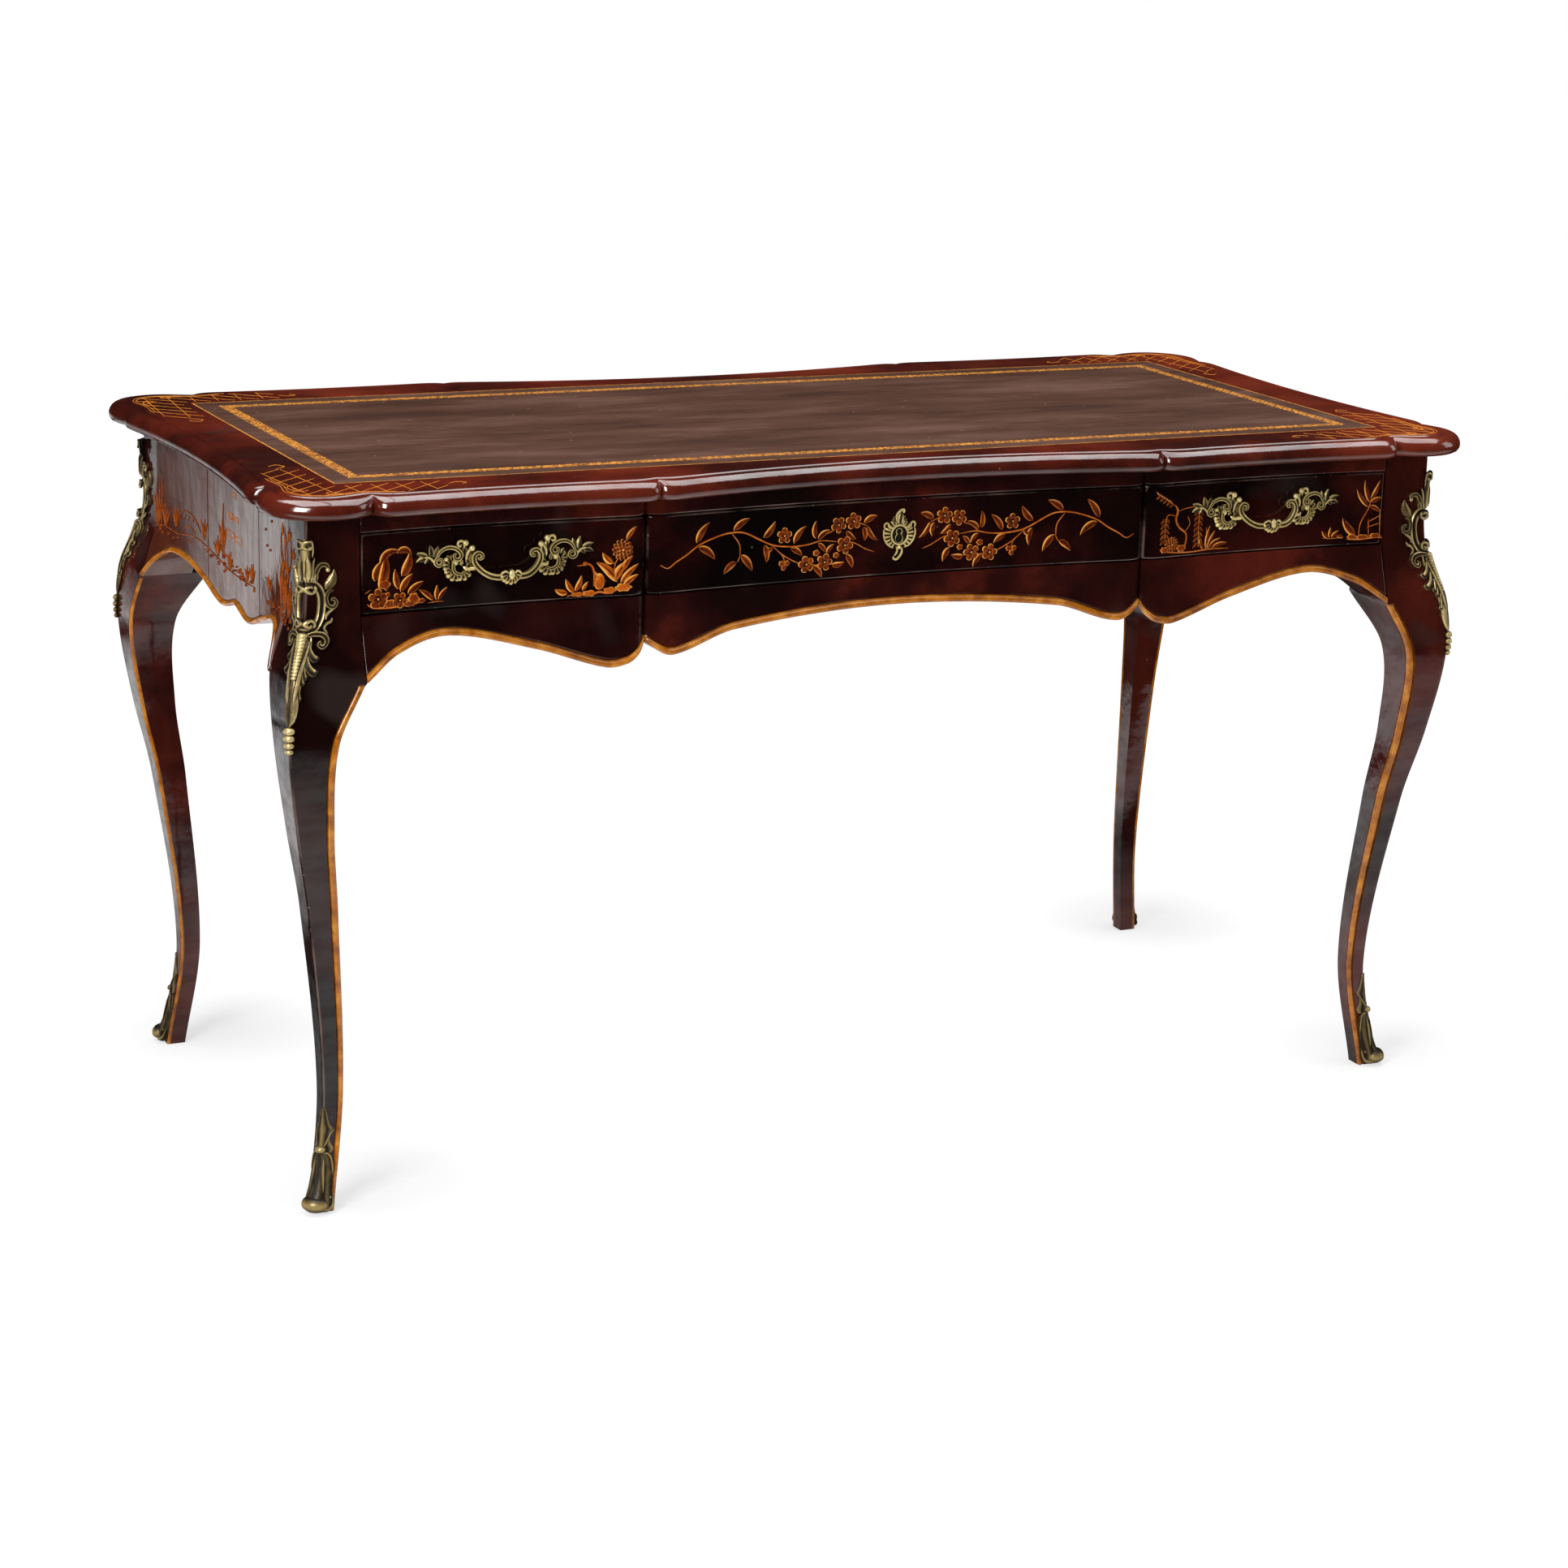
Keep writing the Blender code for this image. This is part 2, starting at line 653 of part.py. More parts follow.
def frieze_board(name, start, end, low, high, facing, back):
    return board(name, frieze_outline(start, end, facing, back), high - low,
                 flat((low + high) / 2), LACQUER)


def skirt(name, facing):
    """The shaped bottom rail below the drawers, swelling out to the legs at its ends."""
    rings = []
    for x in frieze_positions(SEAT_GAP - POST_X, POST_X - SEAT_GAP):
        low = front_edge(x)
        heights = [low + (DRAWER_LOW - low) * i / SKIRT_STEPS for i in range(SKIRT_STEPS + 1)]
        face = [(x, facing * (frieze_front(x) + flare(x, POST_X, z)), z) for z in heights]
        rings.append(face + [(x, facing * FRIEZE_BACK, DRAWER_LOW), (x, facing * FRIEZE_BACK, low)])
    return loft(name, rings, LACQUER)


def side_panel(name, side):
    """One board from the top down to the shaped lower edge, hollow across its width."""
    inner = spread(-POST_Y, POST_Y, SIDE_STEPS, SIDE_HAUNCH_FROM_POST)[1:-1]
    rings = []
    for y in [SEAT_GAP - POST_Y] + inner + [POST_Y - SEAT_GAP]:
        low = side_edge(y)
        heights = [low + (DRAWER_LOW - low) * i / SKIRT_STEPS for i in range(SKIRT_STEPS + 1)]
        heights.append(UNDER_TOP - SEAT_GAP)
        face = [(side * (side_face(y) + flare(y, POST_Y, z)), y, z) for z in heights]
        back = [(side * SIDE_BACK, y, UNDER_TOP - SEAT_GAP), (side * SIDE_BACK, y, low)]
        rings.append(face + back)
    return loft(name, rings, LACQUER)


side_panel("side_panel_left", -1)
side_panel("side_panel_right", 1)
skirt("front_skirt", FRONT)
skirt("back_skirt", BACK)
RAIL_END = POST_X - SEAT_GAP
front_rail = frieze_board("front_rail", -RAIL_END, RAIL_END, DRAWER_HIGH, UNDER_TOP - SEAT_GAP,
                          FRONT, RAIL_BACK)
frieze_board("back_rail", -RAIL_END, RAIL_END, DRAWER_HIGH, UNDER_TOP - SEAT_GAP, BACK, RAIL_BACK)

# The back has fixed fronts, spaced like the drawers
FRONTS = (("left", -POST_X + DRAWER_REVEAL, -BREAK_X - DRAWER_REVEAL),
          ("centre", -BREAK_X + DRAWER_REVEAL, BREAK_X - DRAWER_REVEAL),
          ("right", BREAK_X + DRAWER_REVEAL, POST_X - DRAWER_REVEAL))
for place, start, end in FRONTS:
    frieze_board(f"back_front_{place}", start, end, DRAWER_LOW + SEAT_GAP, DRAWER_HIGH - SEAT_GAP,
                 BACK, FRIEZE_BACK)


# Inside the case: dividers, runners under the drawer sides, kickers over the drawers

CASE_Y = FRIEZE_BACK - SEAT_GAP
HALF_DIVIDER = DIVIDER_THICKNESS / 2
for side, side_name in ((-1, "left"), (1, "right")):
    middle = side * BREAK_X
    box(f"divider_{side_name}", (middle - HALF_DIVIDER, -CASE_Y, DRAWER_LOW - DIVIDER_FOOT),
        (middle + HALF_DIVIDER, CASE_Y, DRAWER_HIGH - SEAT_GAP), OAK)
    spots = (("centre", BREAK_X - HALF_DIVIDER - SEAT_GAP - RUNNER_WIDTH),
             ("bay", BREAK_X + HALF_DIVIDER + SEAT_GAP),
             ("outer", POST_X - SEAT_GAP - RUNNER_WIDTH))
    for spot, near in spots:
        ends = sorted((side * near, side * (near + RUNNER_WIDTH)))
        box(f"runner_{side_name}_{spot}", (ends[0], -CASE_Y, DRAWER_LOW - RUNNER_HEIGHT),
            (ends[1], CASE_Y, DRAWER_LOW), OAK)

KICKER_Y = RAIL_BACK - SEAT_GAP
for place, start, end in FRONTS:
    middle = (start + end) / 2
    box(f"kicker_{place}", (middle - KICKER_WIDTH / 2, -KICKER_Y, DRAWER_HIGH - KICKER_DROP),
        (middle + KICKER_WIDTH / 2, KICKER_Y, UNDER_TOP - SEAT_GAP), OAK)


# Drawers: each front, two grooved sides, a back and a bottom slide together

def drawer_box(place, start, end, case_start, case_end, rail):
    """The pieces of one drawer; case_start and case_end are the walls that guide it."""
    front = frieze_board(f"drawer_{place}_front", start, end, DRAWER_LOW + DRAWER_REVEAL,
                         DRAWER_HIGH - DRAWER_REVEAL, FRONT, FRIEZE_BACK)
    left, right = case_start + DRAWER_SIDE_PLAY, case_end - DRAWER_SIDE_PLAY
    low = DRAWER_LOW + RUNNING_GAP
    high = low + DRAWER_SIDE_HEIGHT
    near, far = -FRIEZE_BACK + SEAT_GAP, FRIEZE_BACK - DRAWER_STOP_GAP
    bottom_low = low + DRAWER_BOTTOM_RISE
    bottom_high = bottom_low + DRAWER_BOTTOM_THICKNESS
    inner_left, inner_right = left + DRAWER_SIDE_THICKNESS, right - DRAWER_SIDE_THICKNESS
    pieces = [front]
    for side_name, outer, inner, inwards in (("left", left, inner_left, 1),
                                             ("right", right, inner_right, -1)):
        ends = sorted((outer, inner))
        board_side = box(f"drawer_{place}_side_{side_name}", (ends[0], near, low),
                         (ends[1], far, high), OAK)
        cut = sorted((inner + inwards * DRAWER_GROOVE, inner - inwards * (DRAWER_GROOVE + SEAT_GAP)))
        groove = box(f"groove_{place}_{side_name}",
                     (cut[0], near - DRAWER_GROOVE, bottom_low - SEAT_GAP),
                     (cut[1], far + DRAWER_GROOVE, bottom_high + SEAT_GAP))
        combine(board_side, groove, "DIFFERENCE")
        pieces.append(board_side)
    pieces.append(box(f"drawer_{place}_back",
                      (inner_left + SEAT_GAP, far - DRAWER_SIDE_THICKNESS, bottom_high + SEAT_GAP),
                      (inner_right - SEAT_GAP, far, high - DRAWER_BACK_DROP), OAK))
    pieces.append(box(f"drawer_{place}_bottom",
                      (inner_left - DRAWER_GROOVE, near, bottom_low),
                      (inner_right + DRAWER_GROOVE, far, bottom_high), OAK))
    for piece in pieces:
        carry(piece, rail)
    return front


def slide(place, x):
    """An empty on the line that a drawer slides along."""
    rail = bpy.data.objects.new(f"slide_{place}", None)
    desk.objects.link(rail)
    rail.location = (x, -FRIEZE_BACK, (DRAWER_LOW + DRAWER_HIGH) / 2)
    bpy.context.view_layer.update()
    return rail


def carry(piece, rail):
    """Hangs a piece on the empty without moving it."""
    piece.parent = rail
    piece.matrix_parent_inverse = rail.matrix_world.inverted()


GUIDES = {"left": (-POST_X, -BREAK_X - HALF_DIVIDER),
          "centre": (-BREAK_X + HALF_DIVIDER, BREAK_X - HALF_DIVIDER),
          "right": (BREAK_X + HALF_DIVIDER, POST_X)}
rails = {}
fronts = {}
for place, start, end in FRONTS:
    rails[place] = slide(place, (start + end) / 2)
    fronts[place] = drawer_box(place, start, end, *GUIDES[place], rails[place])


# Handles: a casting bolted through each outer drawer front from the inside

# One end plate as shares of its length (from the inner end to the tip) and of its height
# above or below the bolt: cluster and leaf spray on top, a stem, a shell below
PLATE_SHAPE = ((1.00, 0.25), (0.86, 0.75), (0.57, 0.70), (0.33, 0.85), (0.21, 1.00), (0.0, 0.60),
               (0.0, -0.20), (0.10, -0.85), (0.22, -1.00), (0.41, -0.80), (0.54, -0.10), (0.81, 0.0))


def plate_outline(centre, outwards):
    points = []
    for along, up in PLATE_SHAPE:
        rise = up * (PLATE_ABOVE if up > 0 else PLATE_BELOW)
        points.append((centre + outwards * (PLATE_INNER + along * PLATE_LENGTH), HANDLE_Z + rise))
    return points


def grip_route(centre, face):
    """The bail's line: out of one plate, down and forward, and into the other plate."""
    half = PLATE_INNER + GRIP_RADIUS
    route = []
    for i in range(GRIP_STEPS + 1):
        angle = math.pi * i / GRIP_STEPS
        out = PLATE_THICKNESS / 2 + GRIP_STANDOFF * math.sqrt(math.sin(angle))
        route.append((centre - half * math.cos(angle), -face - out,
                      HANDLE_Z + GRIP_RADIUS - GRIP_DROP * math.sin(angle)))
    return route


def handle(place, centre, front, rail):
    """The casting and its bolts; its many Booleans lose faces under the exact solver."""
    plate_face = frieze_front(centre + PLATE_INNER + PLATE_LENGTH) + SEAT_GAP
    route = grip_route(centre, plate_face)
    casting = tube(f"handle_{place}", route, GRIP_RADIUS, BRONZE)
    shape = bmesh.new()
    bmesh.ops.create_uvsphere(shape, u_segments=SHELL_SIDES, v_segments=SHELL_RINGS,
                              radius=GRIP_SHELL_RADIUS)
    shell = add(f"grip_shell_{place}", mesh_from("grip_shell", shape))
    shell.location = route[GRIP_STEPS // 2]
    combine(casting, shell, "UNION", "MANIFOLD")
    for outwards, side_name in ((-1, "left"), (1, "right")):
        plate = board(f"handle_plate_{place}_{side_name}", plate_outline(centre, outwards),
                      PLATE_THICKNESS, upright(-plate_face - PLATE_THICKNESS / 2))
        combine(casting, plate, "UNION", "MANIFOLD")
        x = centre + outwards * HANDLE_BOLT_SPREAD / 2
        seat = frieze_front(x) + SEAT_GAP
        boss = cylinder(f"handle_boss_{place}_{side_name}", BOSS_RADIUS, (x, -seat, HANDLE_Z),
                        (x, -plate_face - PLATE_THICKNESS - BOSS_PROUD, HANDLE_Z))
        combine(casting, boss, "UNION", "MANIFOLD")
        tip = seat + HANDLE_BOLT_BITE
        hole = cylinder(f"handle_hole_{place}_{side_name}", HANDLE_BOLT_RADIUS + SEAT_GAP,
                        (x, -RAIL_BACK, HANDLE_Z), (x, -tip - SEAT_GAP, HANDLE_Z))
        combine(casting, hole, "DIFFERENCE", "MANIFOLD")
        cut_too(front, hole)
        bolt = turned_bolt(f"handle_bolt_{place}_{side_name}", tip - FRIEZE_BACK)
        bolt.location = (x, -FRIEZE_BACK + SEAT_GAP, HANDLE_Z)
        bolt.rotation_euler = (math.pi / 2, 0.0, 0.0)
        carry(bolt, rail)
    carry(casting, rail)


def turned_bolt(name, length):
    """A round-headed bolt, its head below its origin and its shank running up."""
    shank = HANDLE_BOLT_RADIUS
    head = HANDLE_BOLT_HEAD_RADIUS
    drop = HANDLE_BOLT_HEAD_HEIGHT
    quarter = math.pi / 2 / SHOULDER_STEPS
    dome = [(head * math.sin(quarter * i), -drop * math.cos(quarter * i))
            for i in range(SHOULDER_STEPS, 0, -1)]
    profile = [(0.0, length), (shank, length), (shank, 0.0)] + dome + [(0.0, -drop)]
    mesh = bpy.data.meshes.new(name)
    edges = [(i, i + 1) for i in range(len(profile) - 1)]
    mesh.from_pydata([(x, 0.0, z) for x, z in profile], edges, [])
    bolt = add(name, mesh, STEEL)
    turn = bolt.modifiers.new("turn", "SCREW")
    turn.steps = BOLT_SIDES
    turn.render_steps = BOLT_SIDES
    turn.use_merge_vertices = True
    turn.merge_threshold = WELD
    return bolt


for place, side in (("left", -1), ("right", 1)):
    handle(place, side * BAY_X, fronts[place], rails[place])


# Lock of the middle drawer: escutcheon outside, case inside, bolt rising into the rail

def escutcheon_outline():
    """A shell cartouche: pointed at the top, full at the middle, tailed at the foot."""
    share = smooth_curve((0.0, 0.06), (0.14, 0.22), (0.28, 0.62), (0.50, 1.0), (0.65, 0.92),
                         (0.74, 0.60), (0.85, 0.42), (0.94, 0.20), (1.0, 0.05))
    foot = ESCUTCHEON_Z - ESCUTCHEON_HEIGHT / 2
    right = []
    for i in range(ESCUTCHEON_STEPS + 1):
        up = i / ESCUTCHEON_STEPS
        right.append((ESCUTCHEON_WIDTH / 2 * share(up), foot + ESCUTCHEON_HEIGHT * up))
    return right + [(-x, z) for x, z in reversed(right)]


face = frieze_front(0.0) + SEAT_GAP
escutcheon = board("escutcheon", escutcheon_outline(), ESCUTCHEON_THICKNESS,
                   upright(-face - ESCUTCHEON_THICKNESS / 2), BRONZE)
keyhole = box("keyhole", (-KEYHOLE_WIDTH / 2, -face - 2 * ESCUTCHEON_THICKNESS,
                          KEYHOLE_Z - KEYHOLE_HEIGHT / 2),
              (KEYHOLE_WIDTH / 2, -RAIL_BACK, KEYHOLE_Z + KEYHOLE_HEIGHT / 2))
combine(escutcheon, keyhole, "DIFFERENCE")
cut_too(fronts["centre"], keyhole)

lock_near = -FRIEZE_BACK + SEAT_GAP
lock_high = DRAWER_HIGH - DRAWER_REVEAL - SEAT_GAP
lock_middle = lock_near + LOCK_DEPTH / 2
case = box("lock_case", (-LOCK_WIDTH / 2, lock_near, lock_high - LOCK_HEIGHT),
           (LOCK_WIDTH / 2, lock_near + LOCK_DEPTH, lock_high), STEEL)
bolt_low = lock_high - BOLT_LENGTH
bolt = box("lock_bolt", (-BOLT_WIDTH / 2, lock_middle - BOLT_DEPTH / 2, bolt_low),
           (BOLT_WIDTH / 2, lock_middle + BOLT_DEPTH / 2, lock_high), STEEL)
channel = box("bolt_channel", (-BOLT_WIDTH / 2 - SEAT_GAP, lock_middle - BOLT_DEPTH / 2 - SEAT_GAP,
                               bolt_low - SEAT_GAP),
              (BOLT_WIDTH / 2 + SEAT_GAP, lock_middle + BOLT_DEPTH / 2 + SEAT_GAP,
               lock_high + BOLT_TRAVEL))
combine(case, channel, "DIFFERENCE")
strike = box("bolt_strike", (-BOLT_WIDTH / 2 - RUNNING_GAP, lock_middle - BOLT_DEPTH / 2 - RUNNING_GAP,
                             DRAWER_HIGH - DRAWER_REVEAL),
             (BOLT_WIDTH / 2 + RUNNING_GAP, lock_middle + BOLT_DEPTH / 2 + RUNNING_GAP,
              lock_high + BOLT_TRAVEL + RUNNING_GAP))
combine(front_rail, strike, "DIFFERENCE")
for piece in (escutcheon, case, bolt):
    carry(piece, rails["centre"])
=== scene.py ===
"""A bureau plat in dark lacquer with gilt ornament and bronze mounts, dressed around its CAD frame."""

import math
import random

import bmesh
import bpy
import numpy as np
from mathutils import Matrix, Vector


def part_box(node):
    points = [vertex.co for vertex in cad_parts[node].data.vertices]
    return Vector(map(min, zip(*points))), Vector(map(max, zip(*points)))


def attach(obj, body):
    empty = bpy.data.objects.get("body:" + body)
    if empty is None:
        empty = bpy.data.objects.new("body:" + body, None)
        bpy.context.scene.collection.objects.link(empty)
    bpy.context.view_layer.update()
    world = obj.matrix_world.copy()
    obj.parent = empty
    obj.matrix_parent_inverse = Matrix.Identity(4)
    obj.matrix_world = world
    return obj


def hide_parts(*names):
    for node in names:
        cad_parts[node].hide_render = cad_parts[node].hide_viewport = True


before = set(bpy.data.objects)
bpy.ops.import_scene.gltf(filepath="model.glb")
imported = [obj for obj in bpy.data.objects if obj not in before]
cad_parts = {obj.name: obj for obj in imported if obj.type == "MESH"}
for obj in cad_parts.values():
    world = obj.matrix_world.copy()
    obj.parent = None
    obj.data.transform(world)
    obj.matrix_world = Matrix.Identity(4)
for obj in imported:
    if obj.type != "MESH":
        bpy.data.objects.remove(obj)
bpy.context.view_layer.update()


# Legs. Each is one length of fruitwood sawn to the same cabriole curve on two faces and
# lacquered dark red-brown, its post running up to the top. A gilt bead is worked along the inner
# edge and carries on from the aprons' beads; the back legs have a finer one on the side too.

HALF_LENGTH, HALF_DEPTH = 0.672, 0.302
POST_WIDTH = 0.0565
POST_X, POST_Y = HALF_LENGTH - POST_WIDTH, HALF_DEPTH - POST_WIDTH
UNDER_TOP = 0.748
DRAWER_HIGH, DRAWER_LOW = 0.7265, 0.641
HIP = 0.576
SEAT = 0.0003
ARRIS, QUIRK = 0.0014, 0.0012
LEG_BEAD, BEAD_SHARE, SIDE_BEAD = 0.0084, 0.27, 0.45
HIP_FADE, POST_START = 0.004, 0.5825


def smooth_curve(*points):
    """A cubic through (position, value) points, its slopes taken from the neighbours."""
    points = sorted(points)
    slopes = []
    for i in range(len(points)):
        before, after = points[max(i - 1, 0)], points[min(i + 1, len(points) - 1)]
        slopes.append((after[1] - before[1]) / (after[0] - before[0]))

    def value(t):
        t = min(max(t, points[0][0]), points[-1][0])
        i = next(k for k in range(len(points) - 1) if t <= points[k + 1][0])
        (t0, v0), (t1, v1) = points[i], points[i + 1]
        span = t1 - t0
        u = (t - t0) / span
        rise = v0 * (1 + 2 * u) * (1 - u) ** 2 + v1 * u * u * (3 - 2 * u)
        return rise + span * u * (1 - u) * (slopes[i] * (1 - u) - slopes[i + 1] * u)

    return value


leg_reach = smooth_curve((0.0, -0.0070), (0.130, -0.0216), (0.330, -0.0010), (0.420, 0.0158),
                         (0.515, 0.0277), (HIP, 0.0216), (0.640, 0.0035), (UNDER_TOP, 0.0))
leg_inner = smooth_curve((0.0, -0.0285), (0.130, -0.0442), (0.330, -0.0334), (0.420, -0.0245),
                         (0.515, -0.0263), (HIP, -POST_WIDTH))


def smooth_step(t):
    t = min(max(t, 0.0), 1.0)
    return t * t * (3 - 2 * t)


def add_node(tree, kind, inputs=None, **settings):
    """A shader node with its inputs set, or linked where a socket is given."""
    made = tree.nodes.new("ShaderNode" + kind)
    for key, value in settings.items():
        setattr(made, key, value)
    for socket, value in (inputs or {}).items():
        if isinstance(value, bpy.types.NodeSocket):
            tree.links.new(value, made.inputs[socket])
        else:
            made.inputs[socket].default_value = value
    return made


def new_finish(name):
    """An empty finish: its node tree, its shader and the place on the desk in metres."""
    made = bpy.data.materials.new(name)
    made.use_nodes = True
    tree = made.node_tree
    return made, tree, tree.nodes["Principled BSDF"], add_node(tree, "TexCoord").outputs["Object"]


def noise(tree, place, scale, detail=4.0, stretch=None, rough=0.5):
    if stretch:
        place = add_node(tree, "Mapping", {"Vector": place, "Scale": stretch}).outputs[0]
    return add_node(tree, "TexNoise", {"Vector": place, "Scale": scale, "Detail": detail,
                                       "Roughness": rough}).outputs[0]


def sums(tree, kind, first, second=0.0):
    return add_node(tree, "Math", {0: first, 1: second}, operation=kind).outputs[0]


def ranged(tree, value, low, high, out_low=0.0, out_high=1.0):
    return add_node(tree, "MapRange", {"Value": value, "From Min": low, "From Max": high,
                                       "To Min": out_low, "To Max": out_high}).outputs[0]


def colours(tree, factor, *stops):
    ramp = add_node(tree, "ValToRGB", {"Fac": factor})
    marks = ramp.color_ramp.elements
    while len(marks) < len(stops):
        marks.new(0.5)
    for mark, (place, colour) in zip(marks, stops):
        mark.position = place
        mark.color = (*colour, 1.0)
    return ramp.outputs[0]


def mixed(tree, factor, first, second):
    mix = add_node(tree, "Mix", data_type="RGBA")
    for socket, value in ((0, factor), (6, first), (7, second)):
        if isinstance(value, bpy.types.NodeSocket):
            tree.links.new(value, mix.inputs[socket])
        else:
            mix.inputs[socket].default_value = (*value, 1.0) if socket else value
    return mix.outputs[2]


def mark_of(tree, name):
    return add_node(tree, "Attribute", attribute_name=name).outputs["Fac"]


def link(tree, shader, **sockets):
    for name, value in sockets.items():
        tree.links.new(value, shader.inputs[name.replace("_", " ")])


def bumped(tree, shader, height, strength, distance, sockets=("Normal",)):
    bump = add_node(tree, "Bump", {"Height": height, "Strength": strength, "Distance": distance})
    for socket in sockets:
        tree.links.new(bump.outputs[0], shader.inputs[socket])


def lacquer(name, dark, light, warm, gloss=1.75, smear_low=0.05, along=(0.35, 1.0, 1.6)):
    """Old lacquer: clouded red-brown over black, edges rubbed pale (part wear, part painted highlight),
    gilt where a mark says so.
    """
    made, tree, shader, place = new_finish(name)
    clouds = noise(tree, place, 5.0, 6.0, rough=0.6)
    streaks = noise(tree, place, 14.0, 5.0, stretch=along)
    ground = colours(tree, clouds, (0.40, dark), (0.53, light), (0.66, warm))
    ground = mixed(tree, ranged(tree, streaks, 0.40, 0.75, 0.0, 0.5), ground, dark)
    faded = ranged(tree, add_node(tree, "SeparateXYZ", {0: place}).outputs["X"], 0.20, 0.60, 0.0, 0.75)
    faded = sums(tree, "MULTIPLY", faded, ranged(tree, noise(tree, place, 9.0, 5.0), 0.44, 0.60, 0.10, 1.0))
    ground = mixed(tree, faded, ground, warm)
    grain = noise(tree, place, 260.0, 3.0)
    chips = noise(tree, place, 150.0, 6.0, rough=0.7)
    wear_and_highlight = mark_of(tree, "wear_and_highlight")
    chipped = ranged(tree, sums(tree, "ADD", chips, sums(tree, "MULTIPLY", wear_and_highlight, 0.30)), 0.915, 0.945, 0.0,
                     0.7)
    stretches = ranged(tree, noise(tree, place, 11.0, 4.0), 0.44, 0.60, 0.0, 0.42)
    # Where the mark reaches 0.8 the edge is rubbed pale in long stretches: part wear, part painted
    # highlight along rounded edges.
    rubbed_and_highlit = sums(tree, "MULTIPLY", ranged(tree, wear_and_highlight, 0.80, 1.0), stretches)
    worn_and_highlit = sums(tree, "MAXIMUM", chipped, rubbed_and_highlit)
    specks = add_node(tree, "TexVoronoi", {"Vector": place, "Scale": 26.0}).outputs["Distance"]
    worn_and_highlit = sums(tree, "MAXIMUM", worn_and_highlit, ranged(tree, specks, 0.040, 0.018, 0.0, 0.32))
    haze = ranged(tree, noise(tree, place, 8.0, 2.0), 0.66, 0.74, 0.0, 0.35)
    ground = mixed(tree, haze, ground, (0.050, 0.036, 0.033))
    # The pale rose-brown of chips, specks and rubbed lines: wear, and along rubbed edges a painted
    # highlight.
    ground = mixed(tree, worn_and_highlit, ground, (0.30, 0.19, 0.15))
    gold = colours(tree, noise(tree, place, 55.0, 5.0, rough=0.6), (0.32, (0.20, 0.052, 0.004)),
                   (0.50, (0.44, 0.138, 0.008)), (0.70, (0.66, 0.26, 0.026)))
    thin = ranged(tree, noise(tree, place, 42.0, 5.0, rough=0.65), 0.60, 0.74, 1.0, 0.65)
    link(tree, shader, Base_Color=mixed(tree, sums(tree, "MULTIPLY", mark_of(tree, "gilt"), thin), ground,
                                        gold))
    smear = noise(tree, place, 24.0, 5.0)
    link(tree, shader, Roughness=ranged(tree, sums(tree, "ADD", smear, worn_and_highlit), 0.3, 1.2, 0.13, 0.46))
    shader.inputs["Specular IOR Level"].default_value = 0.0
    polish = noise(tree, place, 40.0, 6.0, stretch=along, rough=0.62)
    link(tree, shader, Coat_Weight=ranged(tree, polish, 0.36, 0.60, 0.65, 1.0),
         Coat_Roughness=ranged(tree, sums(tree, "ADD", polish, worn_and_highlit), 0.40, 0.75, smear_low,
                               smear_low + 0.10))
    shader.inputs["Coat IOR"].default_value = gloss
    waves = noise(tree, place, 22.0, 3.0)
    height = sums(tree, "ADD", sums(tree, "MULTIPLY", grain, 0.02), sums(tree, "MULTIPLY", chips, 0.03))
    bumped(tree, shader, sums(tree, "ADD", waves, height), 1.0, 0.0010, ("Normal", "Coat Normal"))
    return made


DARK_LACQUER = lacquer("dark_red_lacquer", (0.0070, 0.0017, 0.0014), (0.0290, 0.0046, 0.0033),
                       (0.0860, 0.0120, 0.0062))


def linked(name, data):
    made = bpy.data.objects.new(name, data)
    bpy.context.scene.collection.objects.link(made)
    return made


def turned_mesh(name, points, faces):
    """A mesh with all its faces turned outwards."""
    mesh = bpy.data.meshes.new(name)
    mesh.from_pydata(points, [], faces)
    shape = bmesh.new()
    shape.from_mesh(mesh)
    bmesh.ops.recalc_face_normals(shape, faces=shape.faces)
    shape.to_mesh(mesh)
    shape.free()
    return mesh


def piece_from(name, points, faces, finish, body, marks=None, crease=38.0):
    """A mesh piece with named point marks, smooth except across its creases."""
    mesh = turned_mesh(name, points, faces)
    for mark, values in (marks or {}).items():
        mesh.attributes.new(mark, "FLOAT", "POINT").data.foreach_set("value", values)
    mesh.materials.append(finish)
    mesh.shade_smooth()
    mesh.set_sharp_from_angle(angle=math.radians(crease))
    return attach(linked(name, mesh), body)


def skin(rings, closed=True, capped=True):
    """Faces through rings of as many points each."""
    count = len(rings[0])
    faces = []
    for r in range(len(rings) - 1):
        for i in range(count if closed else count - 1):
            j = (i + 1) % count
            faces.append((r * count + i, r * count + j, (r + 1) * count + j, (r + 1) * count + i))
    if capped:
        faces.append(tuple(range(count)))
        faces.append(tuple(range((len(rings) - 1) * count, len(rings) * count)))
    return faces


def leg_half_section(width, bead, strength):
    """From the outer arris along one face to the inner edge: along, in, wear and painted highlight, and
    gilt.
    """
    # The arris takes the full mark: a pale line, part rubbed wear and part painted highlight.
    run = [(ARRIS * 0.29, ARRIS * 0.29, 1.0, 0.0), (ARRIS, 0.0, 1.0, 0.0), (4 * ARRIS, 0.0, 0.0, 0.0)]
    start = width - bead - QUIRK
    run += [(start - 0.001, 0.0, 0.0, 0.0), (start, 0.0, 0.15, 0.0)]
    run.append((start + QUIRK / 2, strength * QUIRK, 0.0, 0.3 * strength))
    radius = bead / 2
    for i in range(8):
        turn = math.pi * (1.0 - i / 5.6)
        along = min(width - radius + radius * math.cos(turn), width)
        inwards = radius - radius * math.sin(turn)
        run.append((along, strength * (inwards - 0.0004), 0.0, strength))
    run.append((width, max(bead * 0.8, 0.004), 0.0, 0.0))
    return run


def leg_levels():
    levels = [HIP * i / 110 for i in range(106)]
    levels += [HIP - 0.018 + 0.0015 * i for i in range(1, 16)]
    levels += [POST_START + (UNDER_TOP - SEAT - POST_START) * i / 30 for i in range(31)]
    return sorted(set(round(z, 6) for z in levels))


